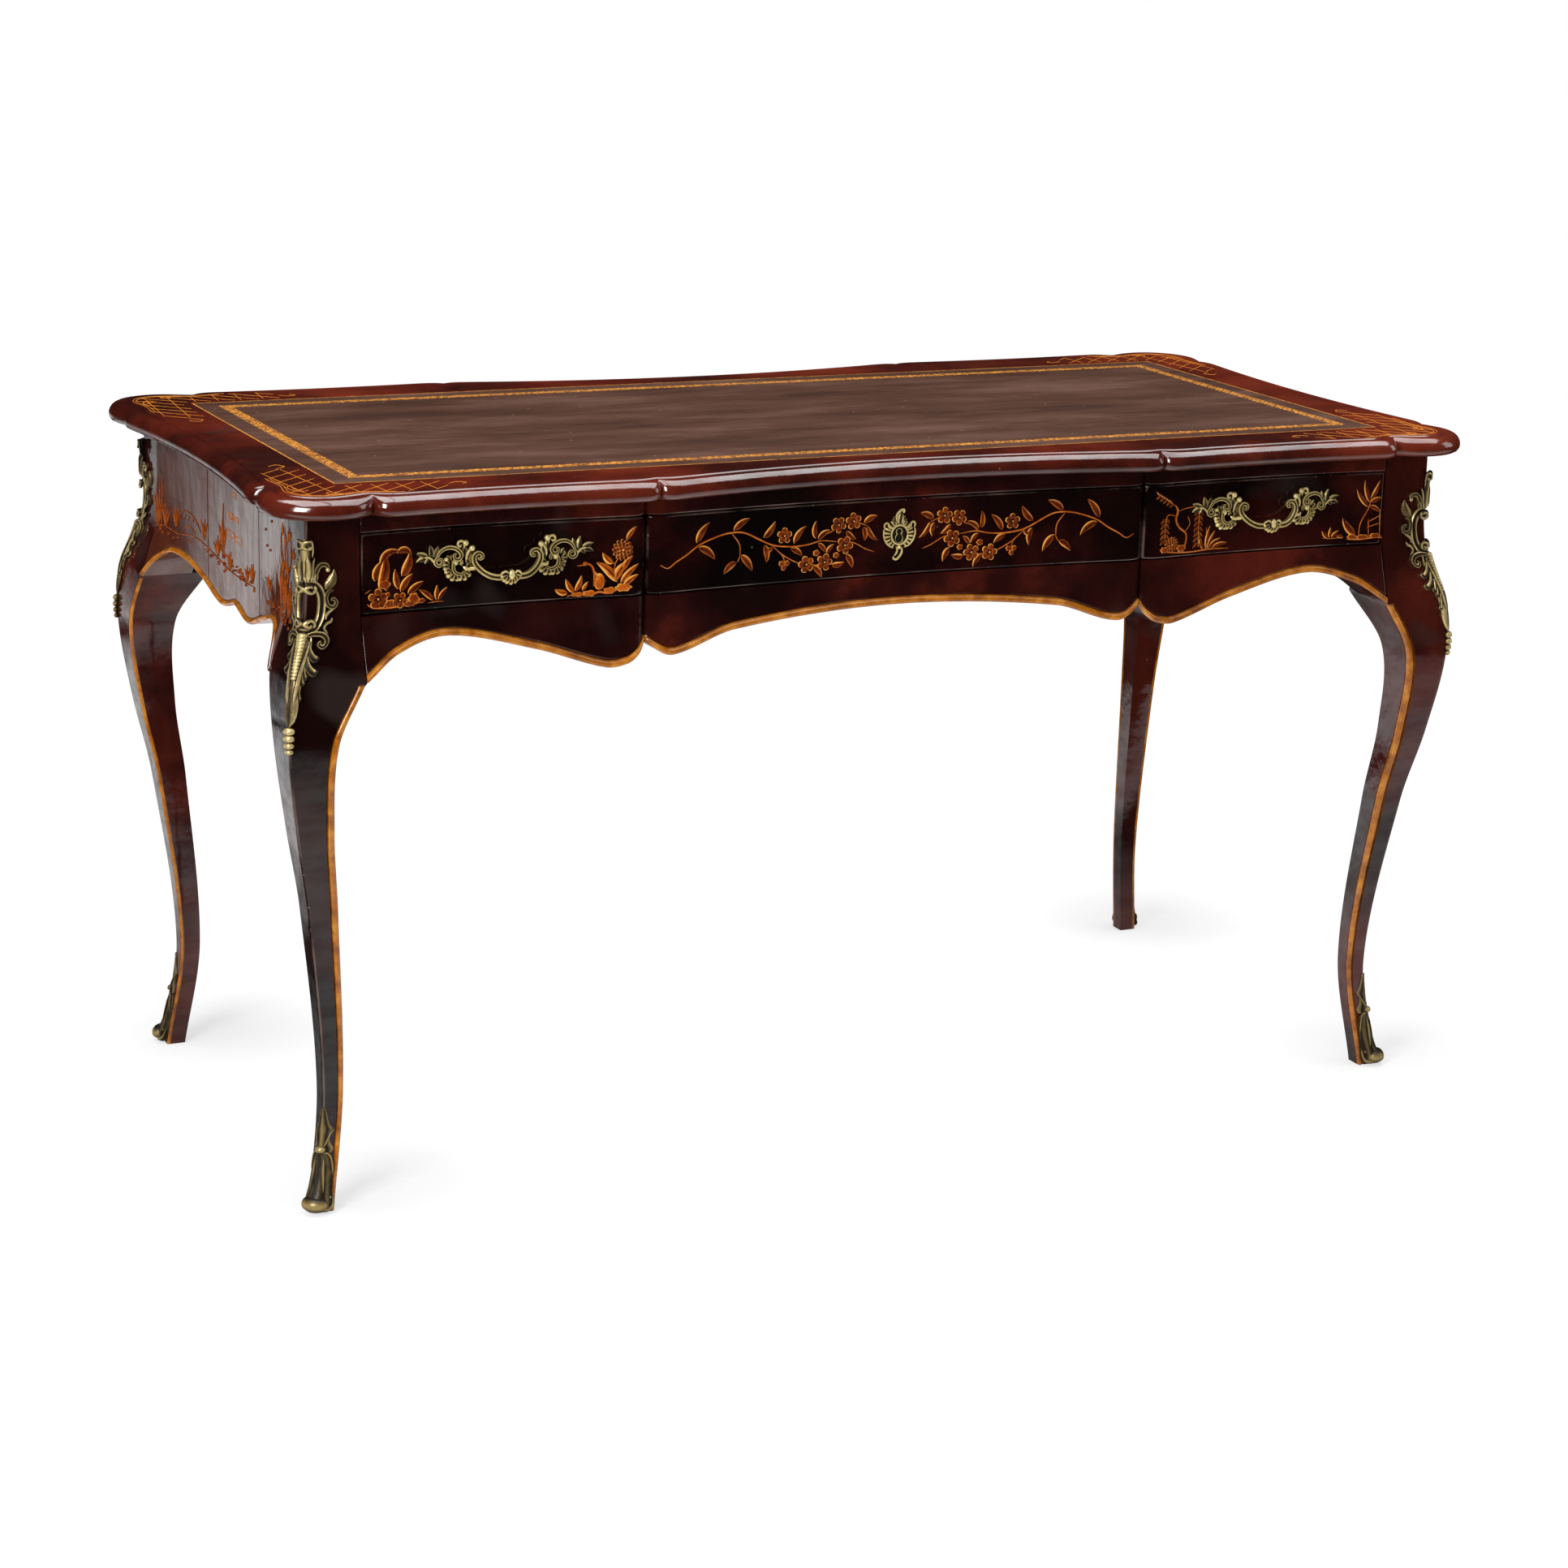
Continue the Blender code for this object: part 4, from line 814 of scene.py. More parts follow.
fillet = sums(tree, "MAXIMUM", between(tree, inset, 0.0002, 0.0021), between(tree, inset, 0.0246, 0.0252))
thin = noise(tree, place, 90.0, 5.0, rough=0.7)
gold_part = sums(tree, "MULTIPLY", sums(tree, "MAXIMUM", leafwork, fillet),
                 ranged(tree, thin, 0.30, 0.46, 0.25, 1.0))
clouds = noise(tree, place, 9.0, 8.0, stretch=(0.40, 1.6, 1.0), rough=0.68)
hide = colours(tree, clouds, (0.36, (0.046, 0.0195, 0.0122)), (0.51, (0.078, 0.0345, 0.0222)),
               (0.66, (0.122, 0.0620, 0.0440)))
scuffs = noise(tree, place, 46.0, 6.0, stretch=(0.25, 1.5, 1.0), rough=0.7)
hide = mixed(tree, ranged(tree, scuffs, 0.62, 0.80, 0.0, 0.5), hide, (0.085, 0.052, 0.040))
specks = add_node(tree, "TexVoronoi", {"Vector": place, "Scale": 34.0}).outputs["Distance"]
hide = mixed(tree, ranged(tree, specks, 0.055, 0.03, 0.0, 0.55), hide, (0.32, 0.27, 0.23))
gold = colours(tree, thin, (0.35, (0.33, 0.105, 0.008)), (0.6, (0.62, 0.25, 0.028)))
link(tree, shader, Base_Color=mixed(tree, gold_part, hide, gold))
link(tree, shader, Roughness=ranged(tree, sums(tree, "ADD", scuffs, gold_part), 0.35, 1.2, 0.42, 0.56))
shader.inputs["Specular IOR Level"].default_value = 0.22
pores = add_node(tree, "TexVoronoi", {"Vector": place, "Scale": 620.0}).outputs["Distance"]
bumped(tree, shader, sums(tree, "ADD", sums(tree, "MULTIPLY", pores, 0.5),
                          sums(tree, "MULTIPLY", gold_part, -0.6)),
       0.22, 0.0006)


def dress(node, finish):
    node.data.materials.clear()
    node.data.materials.append(finish)


dress(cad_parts["leather_panel"], LEATHER)


# Inside of the case. Dividers, runners, kickers and the drawers' own boards are plain planed oak,
# toned by age and a little darker along the grain.

def oak(name, stretch):
    made, tree, shader, place = new_finish(name)
    grain = noise(tree, place, 36.0, 6.0, stretch=stretch, rough=0.6)
    pores = noise(tree, place, 210.0, 4.0, stretch=stretch, rough=0.55)
    tint = noise(tree, place, 4.0, 3.0)
    wood = colours(tree, grain, (0.32, (0.125, 0.062, 0.026)), (0.52, (0.215, 0.118, 0.052)),
                   (0.72, (0.300, 0.178, 0.085)))
    wood = mixed(tree, ranged(tree, pores, 0.58, 0.72, 0.0, 0.6), wood, (0.085, 0.040, 0.016))
    link(tree, shader, Base_Color=mixed(tree, ranged(tree, tint, 0.35, 0.7, 0.0, 0.35), wood,
                                        (0.135, 0.075, 0.035)))
    link(tree, shader, Roughness=ranged(tree, grain, 0.3, 0.7, 0.55, 0.72))
    bumped(tree, shader, sums(tree, "ADD", grain, pores), 0.22, 0.0005)
    return made


OAK_DEEP = oak("oak_along_the_depth", (6.0, 0.35, 6.0))
OAK_LONG = oak("oak_along_the_length", (0.35, 6.0, 6.0))
for name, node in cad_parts.items():
    deep = name.startswith(("divider", "runner",
                            "kicker")) or "_side_" in name and name.startswith("drawer")
    long_way = name.startswith("drawer") and name.endswith(("_back", "_bottom"))
    if deep or long_way:
        dress(node, OAK_DEEP if deep else OAK_LONG)


# Drawer fronts. Three lacquered fronts follow the frieze's hollow curve, with fine pale edges at the gaps,
# part rubbed wear and part painted highlight. The outer two carry handles, the middle one an escutcheon.

for bay, start, end in BAYS:
    front = frieze_board(f"visual_drawer_{bay}_front", start, end, DRAWER_LOW + REVEAL,
                         DRAWER_HIGH - REVEAL,
                         -1, FRIEZE_BACK, f"drawer_{bay}")
    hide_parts(f"drawer_{bay}_front")


# Raised gilt ornament of the drawers and sides. Flowering branches, plants, a goose and a willow are
# built up in gesso on the lacquer, painted orange-brown and rimmed in pale gold, with painted shade
# and painted highlights on the leaves and flowers.

MM = 0.001
GILT_RELIEF = gilded("raised_gilt_gesso", (0.030, 0.0040, 0.0012), (0.21, 0.034, 0.0022),
                     (0.55, 0.118, 0.0055),
                     (0.88, 0.43, 0.085), 0.24)


def leaf(work, lay, base, tip, width, bend=0.0, height=1.1 * MM, tones=(1.0, 0.30, 0.04), fat=0.78,
         steps=9):
    """A raised leaf with painted light: a shaded dark half, a dark midrib of painted shade, and a bright
    half that turns up to a painted highlight at its edge.
    """
    rim, flesh, rib = tones
    columns = ((-1, -0.15, rim - 0.45), (-0.84, 0.55, rim - 0.40), (-0.66, 0.80, flesh - 0.12),
               (-0.28, 0.95, flesh - 0.06),
               (0, 0.70, rib), (0.28, 0.95, flesh + 0.08), (0.58, 0.90, flesh + 0.14), (0.72, 0.80, rim),
               (0.90, 0.50, rim), (1, -0.15, rim - 0.3))
    (bu, bv), (tu, tv) = base, tip
    length = math.hypot(tu - bu, tv - bv)
    du, dv = (tu - bu) / length, (tv - bv) / length
    grid = []
    for i in range(steps + 1):
        t = i / steps
        aside = 4 * bend * length * t * (1 - t)
        lean = 4 * bend * (1 - 2 * t)
        size = math.hypot(1.0, lean)
        nu, nv = (-dv - du * lean) / size, (du - dv * lean) / size
        cu, cv = bu + du * length * t - dv * aside, bv + dv * length * t + du * aside
        half = width / 2 * max(math.sin(math.pi * t ** fat), 0.0) ** 0.8 + 0.00015
        lift = height * (0.45 + 0.55 * math.sin(math.pi * t))
        grid.append([(lay(cu + nu * half * s, cv + nv * half * s, lift * rise), tone) for s, rise,
                     tone in columns])
    sheet(work, grid)


def dome(work, lay, centre, across, up, height, lobes=0, depth=0.0, tones=(0.95, 0.3), lean=0.0, sides=26):
    """A low mound with a lobed outline: a petal mass, a rock, a bud or a bead."""
    grid = []
    for share, rise, tone in ((0.02, 1.0, 1), (0.35, 0.93, 1), (0.66, 0.75, 1), (0.86, 0.50, 0),
                              (0.97, 0.18, 0), (1.0, -0.15, 0)):
        row = []
        for i in range(sides):
            a = 2 * math.pi * i / sides
            wave = 1 + depth * math.cos(lobes * a) * share
            pu, pv = across * share * wave * math.cos(a), up * share * wave * math.sin(a)
            u = centre[0] + pu * math.cos(lean) - pv * math.sin(lean)
            v = centre[1] + pu * math.sin(lean) + pv * math.cos(lean)
            row.append((lay(u, v, height * rise * (1 + 0.4 * depth * math.cos(lobes * a))), tones[tone]))
        grid.append(row)
    sheet(work, grid, ring=True)


def flower(work, lay, centre, radius, turn=0.0):
    """Five rounded petals with curled edges about a bright eye."""
    # A near-black disc under the petals: painted shade in the gaps between them.
    dome(work, lay, centre, radius * 0.72, radius * 0.72, 0.5 * MM, 5, 0.12, (0.0, 0.0), turn, 20)
    for k in range(5):
        a = turn + 2 * math.pi * k / 5
        far = radius * 0.62
        dome(work, lay, (centre[0] + far * math.cos(a), centre[1] + far * math.sin(a)), radius * 0.36,
             radius * 0.37,
             (1.2 + 0.12 * k) * MM, 0, 0.0, (0.52, 0.24), a, 16)
        curl = [(centre[0] + radius * out * math.cos(a + off), centre[1] + radius * out * math.sin(a + off))
                for off, out in ((-0.50, 0.72), (-0.25, 0.90), (0.05, 0.95), (0.35, 0.86))]
        # The curled rim is pale gold with a painted highlight.
        stroke(work, lay, curl, 0.9 * MM, 1.3 * MM, (0.95, 1.0), 0.2)
    # A near-black ring about the eye: painted shade.
    dome(work, lay, centre, radius * 0.28, radius * 0.28, 1.7 * MM, 0, 0.0, (0.02, 0.05), 0.0, 12)
    dome(work, lay, centre, radius * 0.15, radius * 0.15, 2.2 * MM, 6, 0.12, (0.7, 1.0), 0.0, 12)


def bloom(work, lay, centre, radius):
    """A full round flower: three rings of small petals about an eye."""
    for count, share in ((13, 0.80), (9, 0.52), (5, 0.26)):
        for k in range(count):
            a = 2 * math.pi * (k + 0.5 * share) / count
            far = radius * share
            dome(work, lay, (centre[0] + far * math.cos(a), centre[1] + far * math.sin(a)), radius * 0.21,
                 radius * 0.17,
                 (1.0 + 0.9 * (1 - share)) * MM, 0, 0.0, (0.80, 0.16), a, 10)
    dome(work, lay, centre, radius * 0.13, radius * 0.13, 1.9 * MM, 0, 0.0, (0.5, 1.0), 0.0, 10)


def scaled(point):
    return (point[0] * MM, point[1] * MM)


def motif(work, lay, stems=(), rails=(), leaves=(), flowers=(), blooms=(), mounds=(), pale=0.30, glint=1.0):
    """Stems as (width, path), leaves as (base, tip, width, bend), flowers and mounds, all in mm."""
    for path in rails:
        for first, second in zip(path, path[1:]):
            stroke(work, lay, [scaled(first), scaled(second)], 1.1 * MM, 0.6 * MM, (0.7, 0.85), 1.0, 4)
    for width, path in stems:
        stroke(work, lay, [scaled(p) for p in path], width * MM, 0.8 * MM, (0.30, 0.88 * glint), 0.35)
    for x0, z0, x1, z1, width, bend in leaves:
        leaf(work, lay, (x0 * MM, z0 * MM), (x1 * MM, z1 * MM), width * MM, bend, tones=(glint, pale, 0.04))
    for k, (x, z, radius) in enumerate(flowers):
        flower(work, lay, (x * MM, z * MM), radius * MM, 0.7 * k + 0.3)
    for x, z, radius in blooms:
        bloom(work, lay, (x * MM, z * MM), radius * MM)
    for x, z, across, up, lobes, depth in mounds:
        dome(work, lay, (x * MM, z * MM), across * MM, up * MM, 1.5 * MM, lobes, depth,
             (0.78 * glint, pale))


def on_frieze(centre, facing=-1, mirror=1):
    def lay(u, v, h):
        x = centre + mirror * u
        return (x, facing * (frieze_front(x) + h), DRAWER_LOW + v)
    return lay


BRANCH = dict(
    stems=[(2.6, [(-286, 32), (-277, 28), (-267, 34), (-254, 41), (-240, 50), (-220, 57), (-205, 60),
                  (-191, 60),
                  (-181, 57), (-169, 51), (-154, 44), (-140, 41), (-124, 40), (-109, 41), (-93, 44),
                  (-75, 42)]),
           (1.8, [(-154, 44), (-140, 32), (-128, 25), (-119, 21)]),
           (1.6, [(-201, 59), (-192, 47), (-191, 34)]),
           (1.5, [(-66, 42), (-53, 39), (-40, 32), (-29, 28)]), (1.5, [(-55, 63), (-46, 60), (-38, 57)]),
           (1.6, [(-97, 44), (-88, 51), (-80, 54), (-73, 60)]), (1.4, [(-142, 34), (-138, 27), (-138, 21)]),
           (1.4, [(-191, 34), (-194, 28)]), (1.5, [(-109, 21), (-100, 18), (-89, 20)])],
    leaves=[(-243, 52, -228, 73, 8, 0.08), (-241, 47, -221, 33, 8, 0.12), (-199, 62, -180, 74, 7.5, 0.08),
            (-195, 28, -210, 16, 7, -0.1), (-190, 35, -176, 17, 8, 0.08), (-163, 52, -149, 69, 7.5, -0.08),
            (-162, 44, -159, 25, 7, 0.1), (-126, 43, -112, 61, 7, 0.1), (-100, 47, -100, 66, 6, 0.1),
            (-130, 38, -116, 29, 6.5, 0.1), (-97, 46, -83, 55, 6, 0.1), (-63, 53, -51, 43, 6, -0.1),
            (-42, 60, -26, 67, 7, 0.1), (-43, 56, -41, 41, 6, 0.1), (-38, 57, -25, 40, 5.5, -0.12),
            (-97, 41, -88, 31, 5, 0.1), (-86, 30, -78, 39, 5, 0.1), (-80, 17, -65, 19, 6.5, -0.1),
            (-102, 17, -92, 4, 6.5, 0.1), (-63, 27, -55, 12, 7, 0.1), (-152, 41, -162, 37, 4.5, 0.1)],
    flowers=[(-138, 52.5, 9), (-73, 60, 9), (-55, 63, 9.5), (-65, 37.5, 10), (-111, 19.5, 9.5),
             (-89, 20.5, 9.5)],
    mounds=[(-141, 22.5, 3, 3, 5, 0.08), (-134, 22.5, 3, 3, 5, 0.08), (-138, 17.5, 3, 3, 5, 0.08),
            (-99, 31, 4, 3.4, 5, 0.1), (-75, 27, 3.6, 3.2, 5, 0.1)])
PEONY_PLANT = dict(
    stems=[(3.0, [(-150, 12), (-144, 8), (-136, 7), (-124, 6.5), (-108, 8), (-96, 9), (-87, 12)]),
           (1.2, [(-152, 23), (-146, 27)]), (1.4, [(-83, 8), (-74, 9), (-66, 8.5)])],
    leaves=[(-137, 27, -131, 64, 11, -0.10), (-135, 50, -113, 64, 8, 0.26),
            (-112, 38, -103, 62, 10.5, -0.10),
            (-117, 62, -101, 59, 7, 0.3), (-141, 35, -133, 55, 8, 0.12), (-115, 25, -119, 46, 7, 0.05),
            (-113, 22, -100, 40, 7.5, 0.06), (-105, 19, -88, 31, 7.5, 0.05),
            (-77, 10.5, -93, 23, 5.5, -0.04),
            (-73.5, 10.5, -73, 26, 5, 0.02), (-71.5, 10.5, -62, 23, 5, 0.04), (-128, 24, -126, 38, 6, 0.1)],
    flowers=[(-138, 16.5, 11), (-114, 13.5, 8.5)],
    mounds=[(-131, 31, 7, 5, 5, 0.08), (-125, 10.5, 6, 4.5, 6, 0.16), (-99, 14, 6, 6, 6, 0.14),
            (-127, 20, 2.8, 2.8, 0, 0.0),
            (-104, 9, 8, 3, 7, 0.14), (-90, 11, 4, 2.6, 5, 0.12)])
GOOSE = dict(
    stems=[(3.2, [(69, 4.5), (80, 6.5), (93, 4.5), (104, 7.5), (115, 6), (127, 10.5), (139, 10)]),
           (3.0, [(88, 37.5), (93, 37.5), (97, 34), (99, 28), (102, 24)]),
           (1.8, [(90, 37.5), (85, 36.6), (80, 36.4)]),
           (1.4, [(121, 19), (121, 34), (125, 43), (129, 49)]), (1.2, [(121, 36), (117, 40)])],
    leaves=[(70, 8.3, 56, 13, 6.5, 0.1), (77, 8.4, 68, 23, 6, 0.08), (78, 9.5, 85, 26, 6, -0.08),
            (124, 17, 101, 39, 9.5, -0.08), (122, 18, 136, 38, 9.5, 0.12), (130, 28, 141, 44, 6.5, 0.1),
            (128, 16, 148, 35, 6.5, 0.06), (131, 12, 148, 23.5, 6.5, 0.08), (119.5, 37, 108, 49, 7, 0.1),
            (134, 61, 145, 75, 5.5, 0.08), (86, 10, 92, 19, 4, 0.0), (99, 30, 98, 14, 4.5, 0.12)],
    blooms=[(129.7, 51, 11.5)], pale=0.62,
    mounds=[(104.5, 18.5, 6.0, 9.0, 0, 0.0), (89, 38, 2.6, 2.2, 0, 0.0), (131, 11, 9, 4.5, 6, 0.14),
            (116, 8.5, 7, 3.5, 5, 0.16), (94, 6.5, 8, 3.2, 5, 0.14), (81, 6, 7, 2.4, 5, 0.12)])
WILLOW = dict(
    stems=[(3.2, [(-104, 9), (-102, 26), (-112, 35), (-117, 44), (-115, 54), (-119, 61)]),
           (1.6, [(-119, 60), (-131, 69), (-142, 74.5)]), (1.6,
                                                           [(-114, 54), (-99, 57), (-88, 56), (-86, 45),
                                                            (-86, 28), (-85, 11)]),
           (1.4, [(-116, 48), (-128, 50), (-131, 39), (-131, 16)]),
           (1.2, [(-104, 30), (-98, 38), (-101, 47)]),
           (2.2, [(-136, 10), (-120, 7), (-93, 6), (-70, 7.5), (-44, 7)]), (1.3, [(-74, 8), (-75, 33)])],
    leaves=[(-74, 8, -70, 34, 4.5, 0.05), (-71, 8, -55, 19, 5, 0.08), (-66, 8, -46, 13, 4.5, 0.1),
            (-78, 8, -84, 24, 4, 0.05),
            (-72, 8, -63, 28, 4, 0.05)]
    + [(-86, 53 - 6.2 * k, -86 + 6 * d, 47 - 6.2 * k, 2.4, 0.05 * d) for k in range(7) for d in (-1, 1)]
    + [(-131, 46 - 6.0 * k, -131 + 6 * d, 40 - 6.0 * k, 2.4, 0.05 * d) for k in range(5) for d in (-1, 1)]
    + [(-122 - 4.4 * k, 63 + 2.6 * k, -127 - 4.4 * k, 63 + 2.6 * k + 4.5 * d, 2.0,
        0.05) for k in range(5) for d in (-1, 1)],
    blooms=[(-121, 16, 9)],
    mounds=[(-108, 11, 6, 4, 6, 0.14), (-131, 10.5, 5, 3.5, 6, 0.14)])
BAMBOO = dict(
    stems=[(1.8, [(128, 9), (129, 26), (139, 45), (141, 58)]), (1.3, [(139, 31), (140.5, 12)]),
           (1.6, [(153, 42), (155, 12)]),
           (1.4, [(138, 27), (155, 35)]), (1.3, [(138, 21), (155, 26)]),
           (2.6, [(112, 8.5), (130, 7.5), (148, 9), (160, 8.5)]),
           (1.3, [(80, 11), (91, 10), (108, 11)])],
    leaves=[(139, 45, 122, 66, 5.5, 0.06), (140, 50, 132, 76, 5.5, 0.05), (141, 54, 151, 75, 5.5, -0.05),
            (141, 50, 155, 55, 5.5, 0.06), (140, 46, 154, 38, 5, 0.08), (124, 13, 106, 33, 9, 0.08),
            (90, 11, 91, 23, 4.5, 0.0), (88, 11, 80, 19, 4.5, 0.05), (93, 11, 102, 19, 4.5, 0.05),
            (108, 11, 99, 13, 4, 0.0)],
    mounds=[(119, 11, 6, 3, 6, 0.14), (133, 10, 8, 3, 7, 0.12), (149, 11, 7, 3, 6, 0.14)])


def ornament(name, body, *designs):
    """One raised piece from (design, lay) pairs."""
    work = new_work()
    for design, lay in designs:
        motif(work, lay, **design)
    return finished(name, work, GILT_RELIEF, body)


BAY_X = 0.458
ornament("gilt_branches_centre", "drawer_centre", (BRANCH, on_frieze(0.0)),
         (BRANCH, on_frieze(0.0, mirror=-1)))
ornament("gilt_plants_left", "drawer_left", (PEONY_PLANT, on_frieze(-BAY_X)), (GOOSE, on_frieze(-BAY_X)))
ornament("gilt_plants_right", "drawer_right", (WILLOW, on_frieze(BAY_X)), (BAMBOO, on_frieze(BAY_X)))
ornament("gilt_branches_back", "frame", (BRANCH, on_frieze(0.0, 1)), (BRANCH, on_frieze(0.0, 1, -1)),
         (PEONY_PLANT, on_frieze(BAY_X, 1, -1)), (GOOSE, on_frieze(BAY_X, 1, -1)),
         (WILLOW, on_frieze(-BAY_X, 1, -1)), (BAMBOO, on_frieze(-BAY_X, 1, -1)))

draw = random.Random(11)


def grasses(x, z, count, height, spread):
    """A tuft of narrow blades that fan out from one foot."""
    blades = []
    count = (count + 1) // 2
    for k in range(count):
        share = (k + 0.5) / count * 2 - 1
        tall = height * (0.65 + 0.35 * draw.random()) * (1 - 0.35 * abs(share))
        blades.append((x + share * 2, z, x + share * spread, z + tall, 1.0, 0.05 * share))
    return blades


def stones(x0, z0, x1, z1, count, size):
    """Small broken stones strewn along a bank."""
    out = []
    for k in range(count):
        t = draw.random()
        big = size * (0.4 + 0.6 * draw.random())
        out.append((x0 + (x1 - x0) * t + draw.uniform(-3, 3), z0 + (z1 - z0) * t + draw.uniform(-5, 5), big,
                    big * 0.6, 5, 0.15))
    return out


def square(x, z, width, height):
    return [(x - width, z), (x - width, z + height), (x, z + height), (x, z + 1), (x - width * 0.75, z + 1)]


PANEL = dict(
    pale=0.20, glint=0.56,
    stems=[(1.8, [(250, -8), (222, -2), (185, -5), (152, -1), (122, -1), (86, -6), (57, -10), (23, -15),
                  (-35, -16), (-75, -14)]),
           (2.2, [(188, 3), (180, 16), (166, 24), (147, 23), (130, 17), (119, 8)]),
           (1.8, [(172, 1), (160, 8), (148, 8), (136, 3)]),
           (1.2, [(46, -6), (45, 22), (42, 55)]), (1.2, [(228, -9), (231, 25), (229, 49)]),
           (1.2, [(243, -8), (247, 22), (244, 52)])]
    + [(0.9, [(180 - 12 * k, 12 + 2 * k - 0.35 * k * k), (174 - 11 * k,
                                                          20 + 1.2 * k - 0.5 * k * k)]) for k in range(6)],
    rails=[square(*s) for s in ((6, 67, 10, 7), (25, 42, 16, 7), (2, 42, 13, 6), (31, 21, 26, 8),
                                (3, 20, 28, 7))],
    leaves=grasses(238, -6, 9, 58, 22) + grasses(218, -3, 7, 36, 16) + grasses(191, 2, 7, 36,
                                                                               14) + grasses(108, 2, 7, 30,
                                                                                             14)
    + grasses(62, -6, 9, 26, 20) + grasses(44, 2, 11, 48, 18) + grasses(20, -14, 7, 24, 14) + grasses(-66,
                                                                                                      -12,
                                                                                                      7, 28,
                                                                                                      16)
    + grasses(-45, -14, 5, 18, 12),
    mounds=stones(240, -8, 122, -4, 18, 3) + stones(110, -4, 30, -16, 20, 3) + stones(60, 0, -35, -14, 26,
                                                                                      3.2)
    + stones(-35, -16, -76, -14, 12, 2.6) + [(-156, 73, 1.6, 1.6, 0, 0), (-127, 59, 1.6, 1.6, 0, 0),
                                             (-133, 43, 1.6, 1.6, 0, 0),
                                            (-148, 41, 1.6, 1.6, 0, 0)])
STILE = dict(
    pale=0.20, glint=0.56,
    stems=[(1.2, [(-212, -1), (-222, 33), (-207, 55), (-206, 67), (-214, 80)]),
           (1.2, [(-231, -4), (-231, 20), (-240, 50), (-230, 74)]),
           (1.2, [(-247, -6), (-247, 28), (-256, 55), (-250, 82)]), (1.0, [(-256, 55), (-265, 66)])],
    leaves=grasses(-214, -2, 11, 50, 20) + grasses(-236, -4, 11, 44, 20) + grasses(-256, -6, 9, 40,
                                                                                   14) + grasses(-141, -4,
                                                                                                 7, 22, 14)
    + grasses(-214, 70, 5, 14, 8) + grasses(-230, 62, 5, 16, 8) + grasses(-250, 70, 5, 16,
                                                                          8) + grasses(-264, 54, 5, 14, 6)
    + grasses(-218, 30, 7, 22, 12) + grasses(-242, 34, 7, 20, 10),
    mounds=stones(-121, -13, -202, -16, 14, 2.8) + stones(-205, -8, -265, -12, 26, 3.4))


def on_side(side):
    def lay(u, v, h):
        z = DRAWER_LOW + v
        face = side_face(u) if abs(u) < POST_Y else HALF_LENGTH
        swell = flare(u, POST_Y, z) if abs(u) < POST_Y else leg_reach(z)
        return (side * (face + swell + h), u, z)
    return lay


for side, name in ((-1, "left"), (1, "right")):
    ornament(f"gilt_landscape_{name}", "frame", (PANEL, on_side(side)), (STILE, on_side(side)))


# Bronze mounts. Sand-cast, chased and lacquered brass, dark in the hollows and under the bars and bright on
# the high parts: part patina and rubbing, part painted shade and painted highlight. The two drawer handles
# come first: each one casting of two leafy end plates and a grip that hangs clear of the front, bolted from
# inside.

def cast_bronze(name, dark, mid, bright, metal=0.30):
    made, tree, shader, place = new_finish(name)
    pits = noise(tree, place, 900.0, 3.0)
    patina = noise(tree, place, 65.0, 6.0, rough=0.65)
    # The tone mark sets the colour: dark in hollows and under bars, bright on crests, part patina and
    # rubbing, part painted shade and painted highlight.
    tone = sums(tree, "ADD", mark_of(tree, "tone"), ranged(tree, patina, 0.3, 0.7, -0.16, 0.12))
    link(tree, shader, Base_Color=colours(tree, tone, (0.30, dark), (0.68, mid), (0.98, bright)))
    link(tree, shader, Metallic=ranged(tree, tone, 0.1, 0.8, metal / 3, metal))
    link(tree, shader, Roughness=ranged(tree, tone, 0.0, 1.0, 0.48, 0.22))
    bumped(tree, shader, sums(tree, "ADD", pits, patina), 0.25, 0.0005)
    return made


BRONZE = cast_bronze("gilt_bronze", (0.014, 0.009, 0.003), (0.64, 0.435, 0.122), (1.00, 0.86, 0.41), 0.36)
RICH_BRONZE = cast_bronze("rich_bronze", (0.010, 0.006, 0.003), (0.200, 0.132, 0.046), (0.86, 0.67, 0.29),
                          0.50)


def roll(work, lay, path, radii, flutes=0, depth=0.20, sides=16, per=5, flat=0.85):
    """A cast bar along a path of (across, up, out), its radius running through the radii."""
    route = smoothed(path, per)
    last = len(route) - 1
    sizes = np.interp(np.linspace(0, 1, last + 1), np.linspace(0, 1, len(radii)), radii)
    grid = []
    for i, spot in enumerate(route):
        ahead = route[min(i + 1, last)] - route[max(i - 1, 0)]
        ahead = ahead / (np.linalg.norm(ahead) or 1.0)
        aside = np.cross((0.0, 0.0, 1.0), ahead)
        aside = aside / (np.linalg.norm(aside) or 1.0)
        out = np.cross(ahead, aside)
        ends = min(1.0, 0.12 + 2.2 * min(i, last - i) / max(2, per))
        row = []
        for k in range(sides):
            a = 2 * math.pi * k / sides
            # Tone: fluted bars bright on the crests and dark in the flutes, plain bars bright on their
            # outer half and dark on the half toward the plate: painted highlight and painted shade.
            ridge = -math.cos(flutes * a) if flutes else 2 * max(math.sin(a), 0.0) ** 2 - 1
            size = sizes[i] * ends * (1 + (depth * ridge if flutes else 0.0))
            point = spot + aside * size * math.cos(a) + out * size * flat * math.sin(a)
            row.append((lay(*point), 0.52 + 0.46 * ridge))
        grid.append(row)
    sheet(work, grid, ring=True)


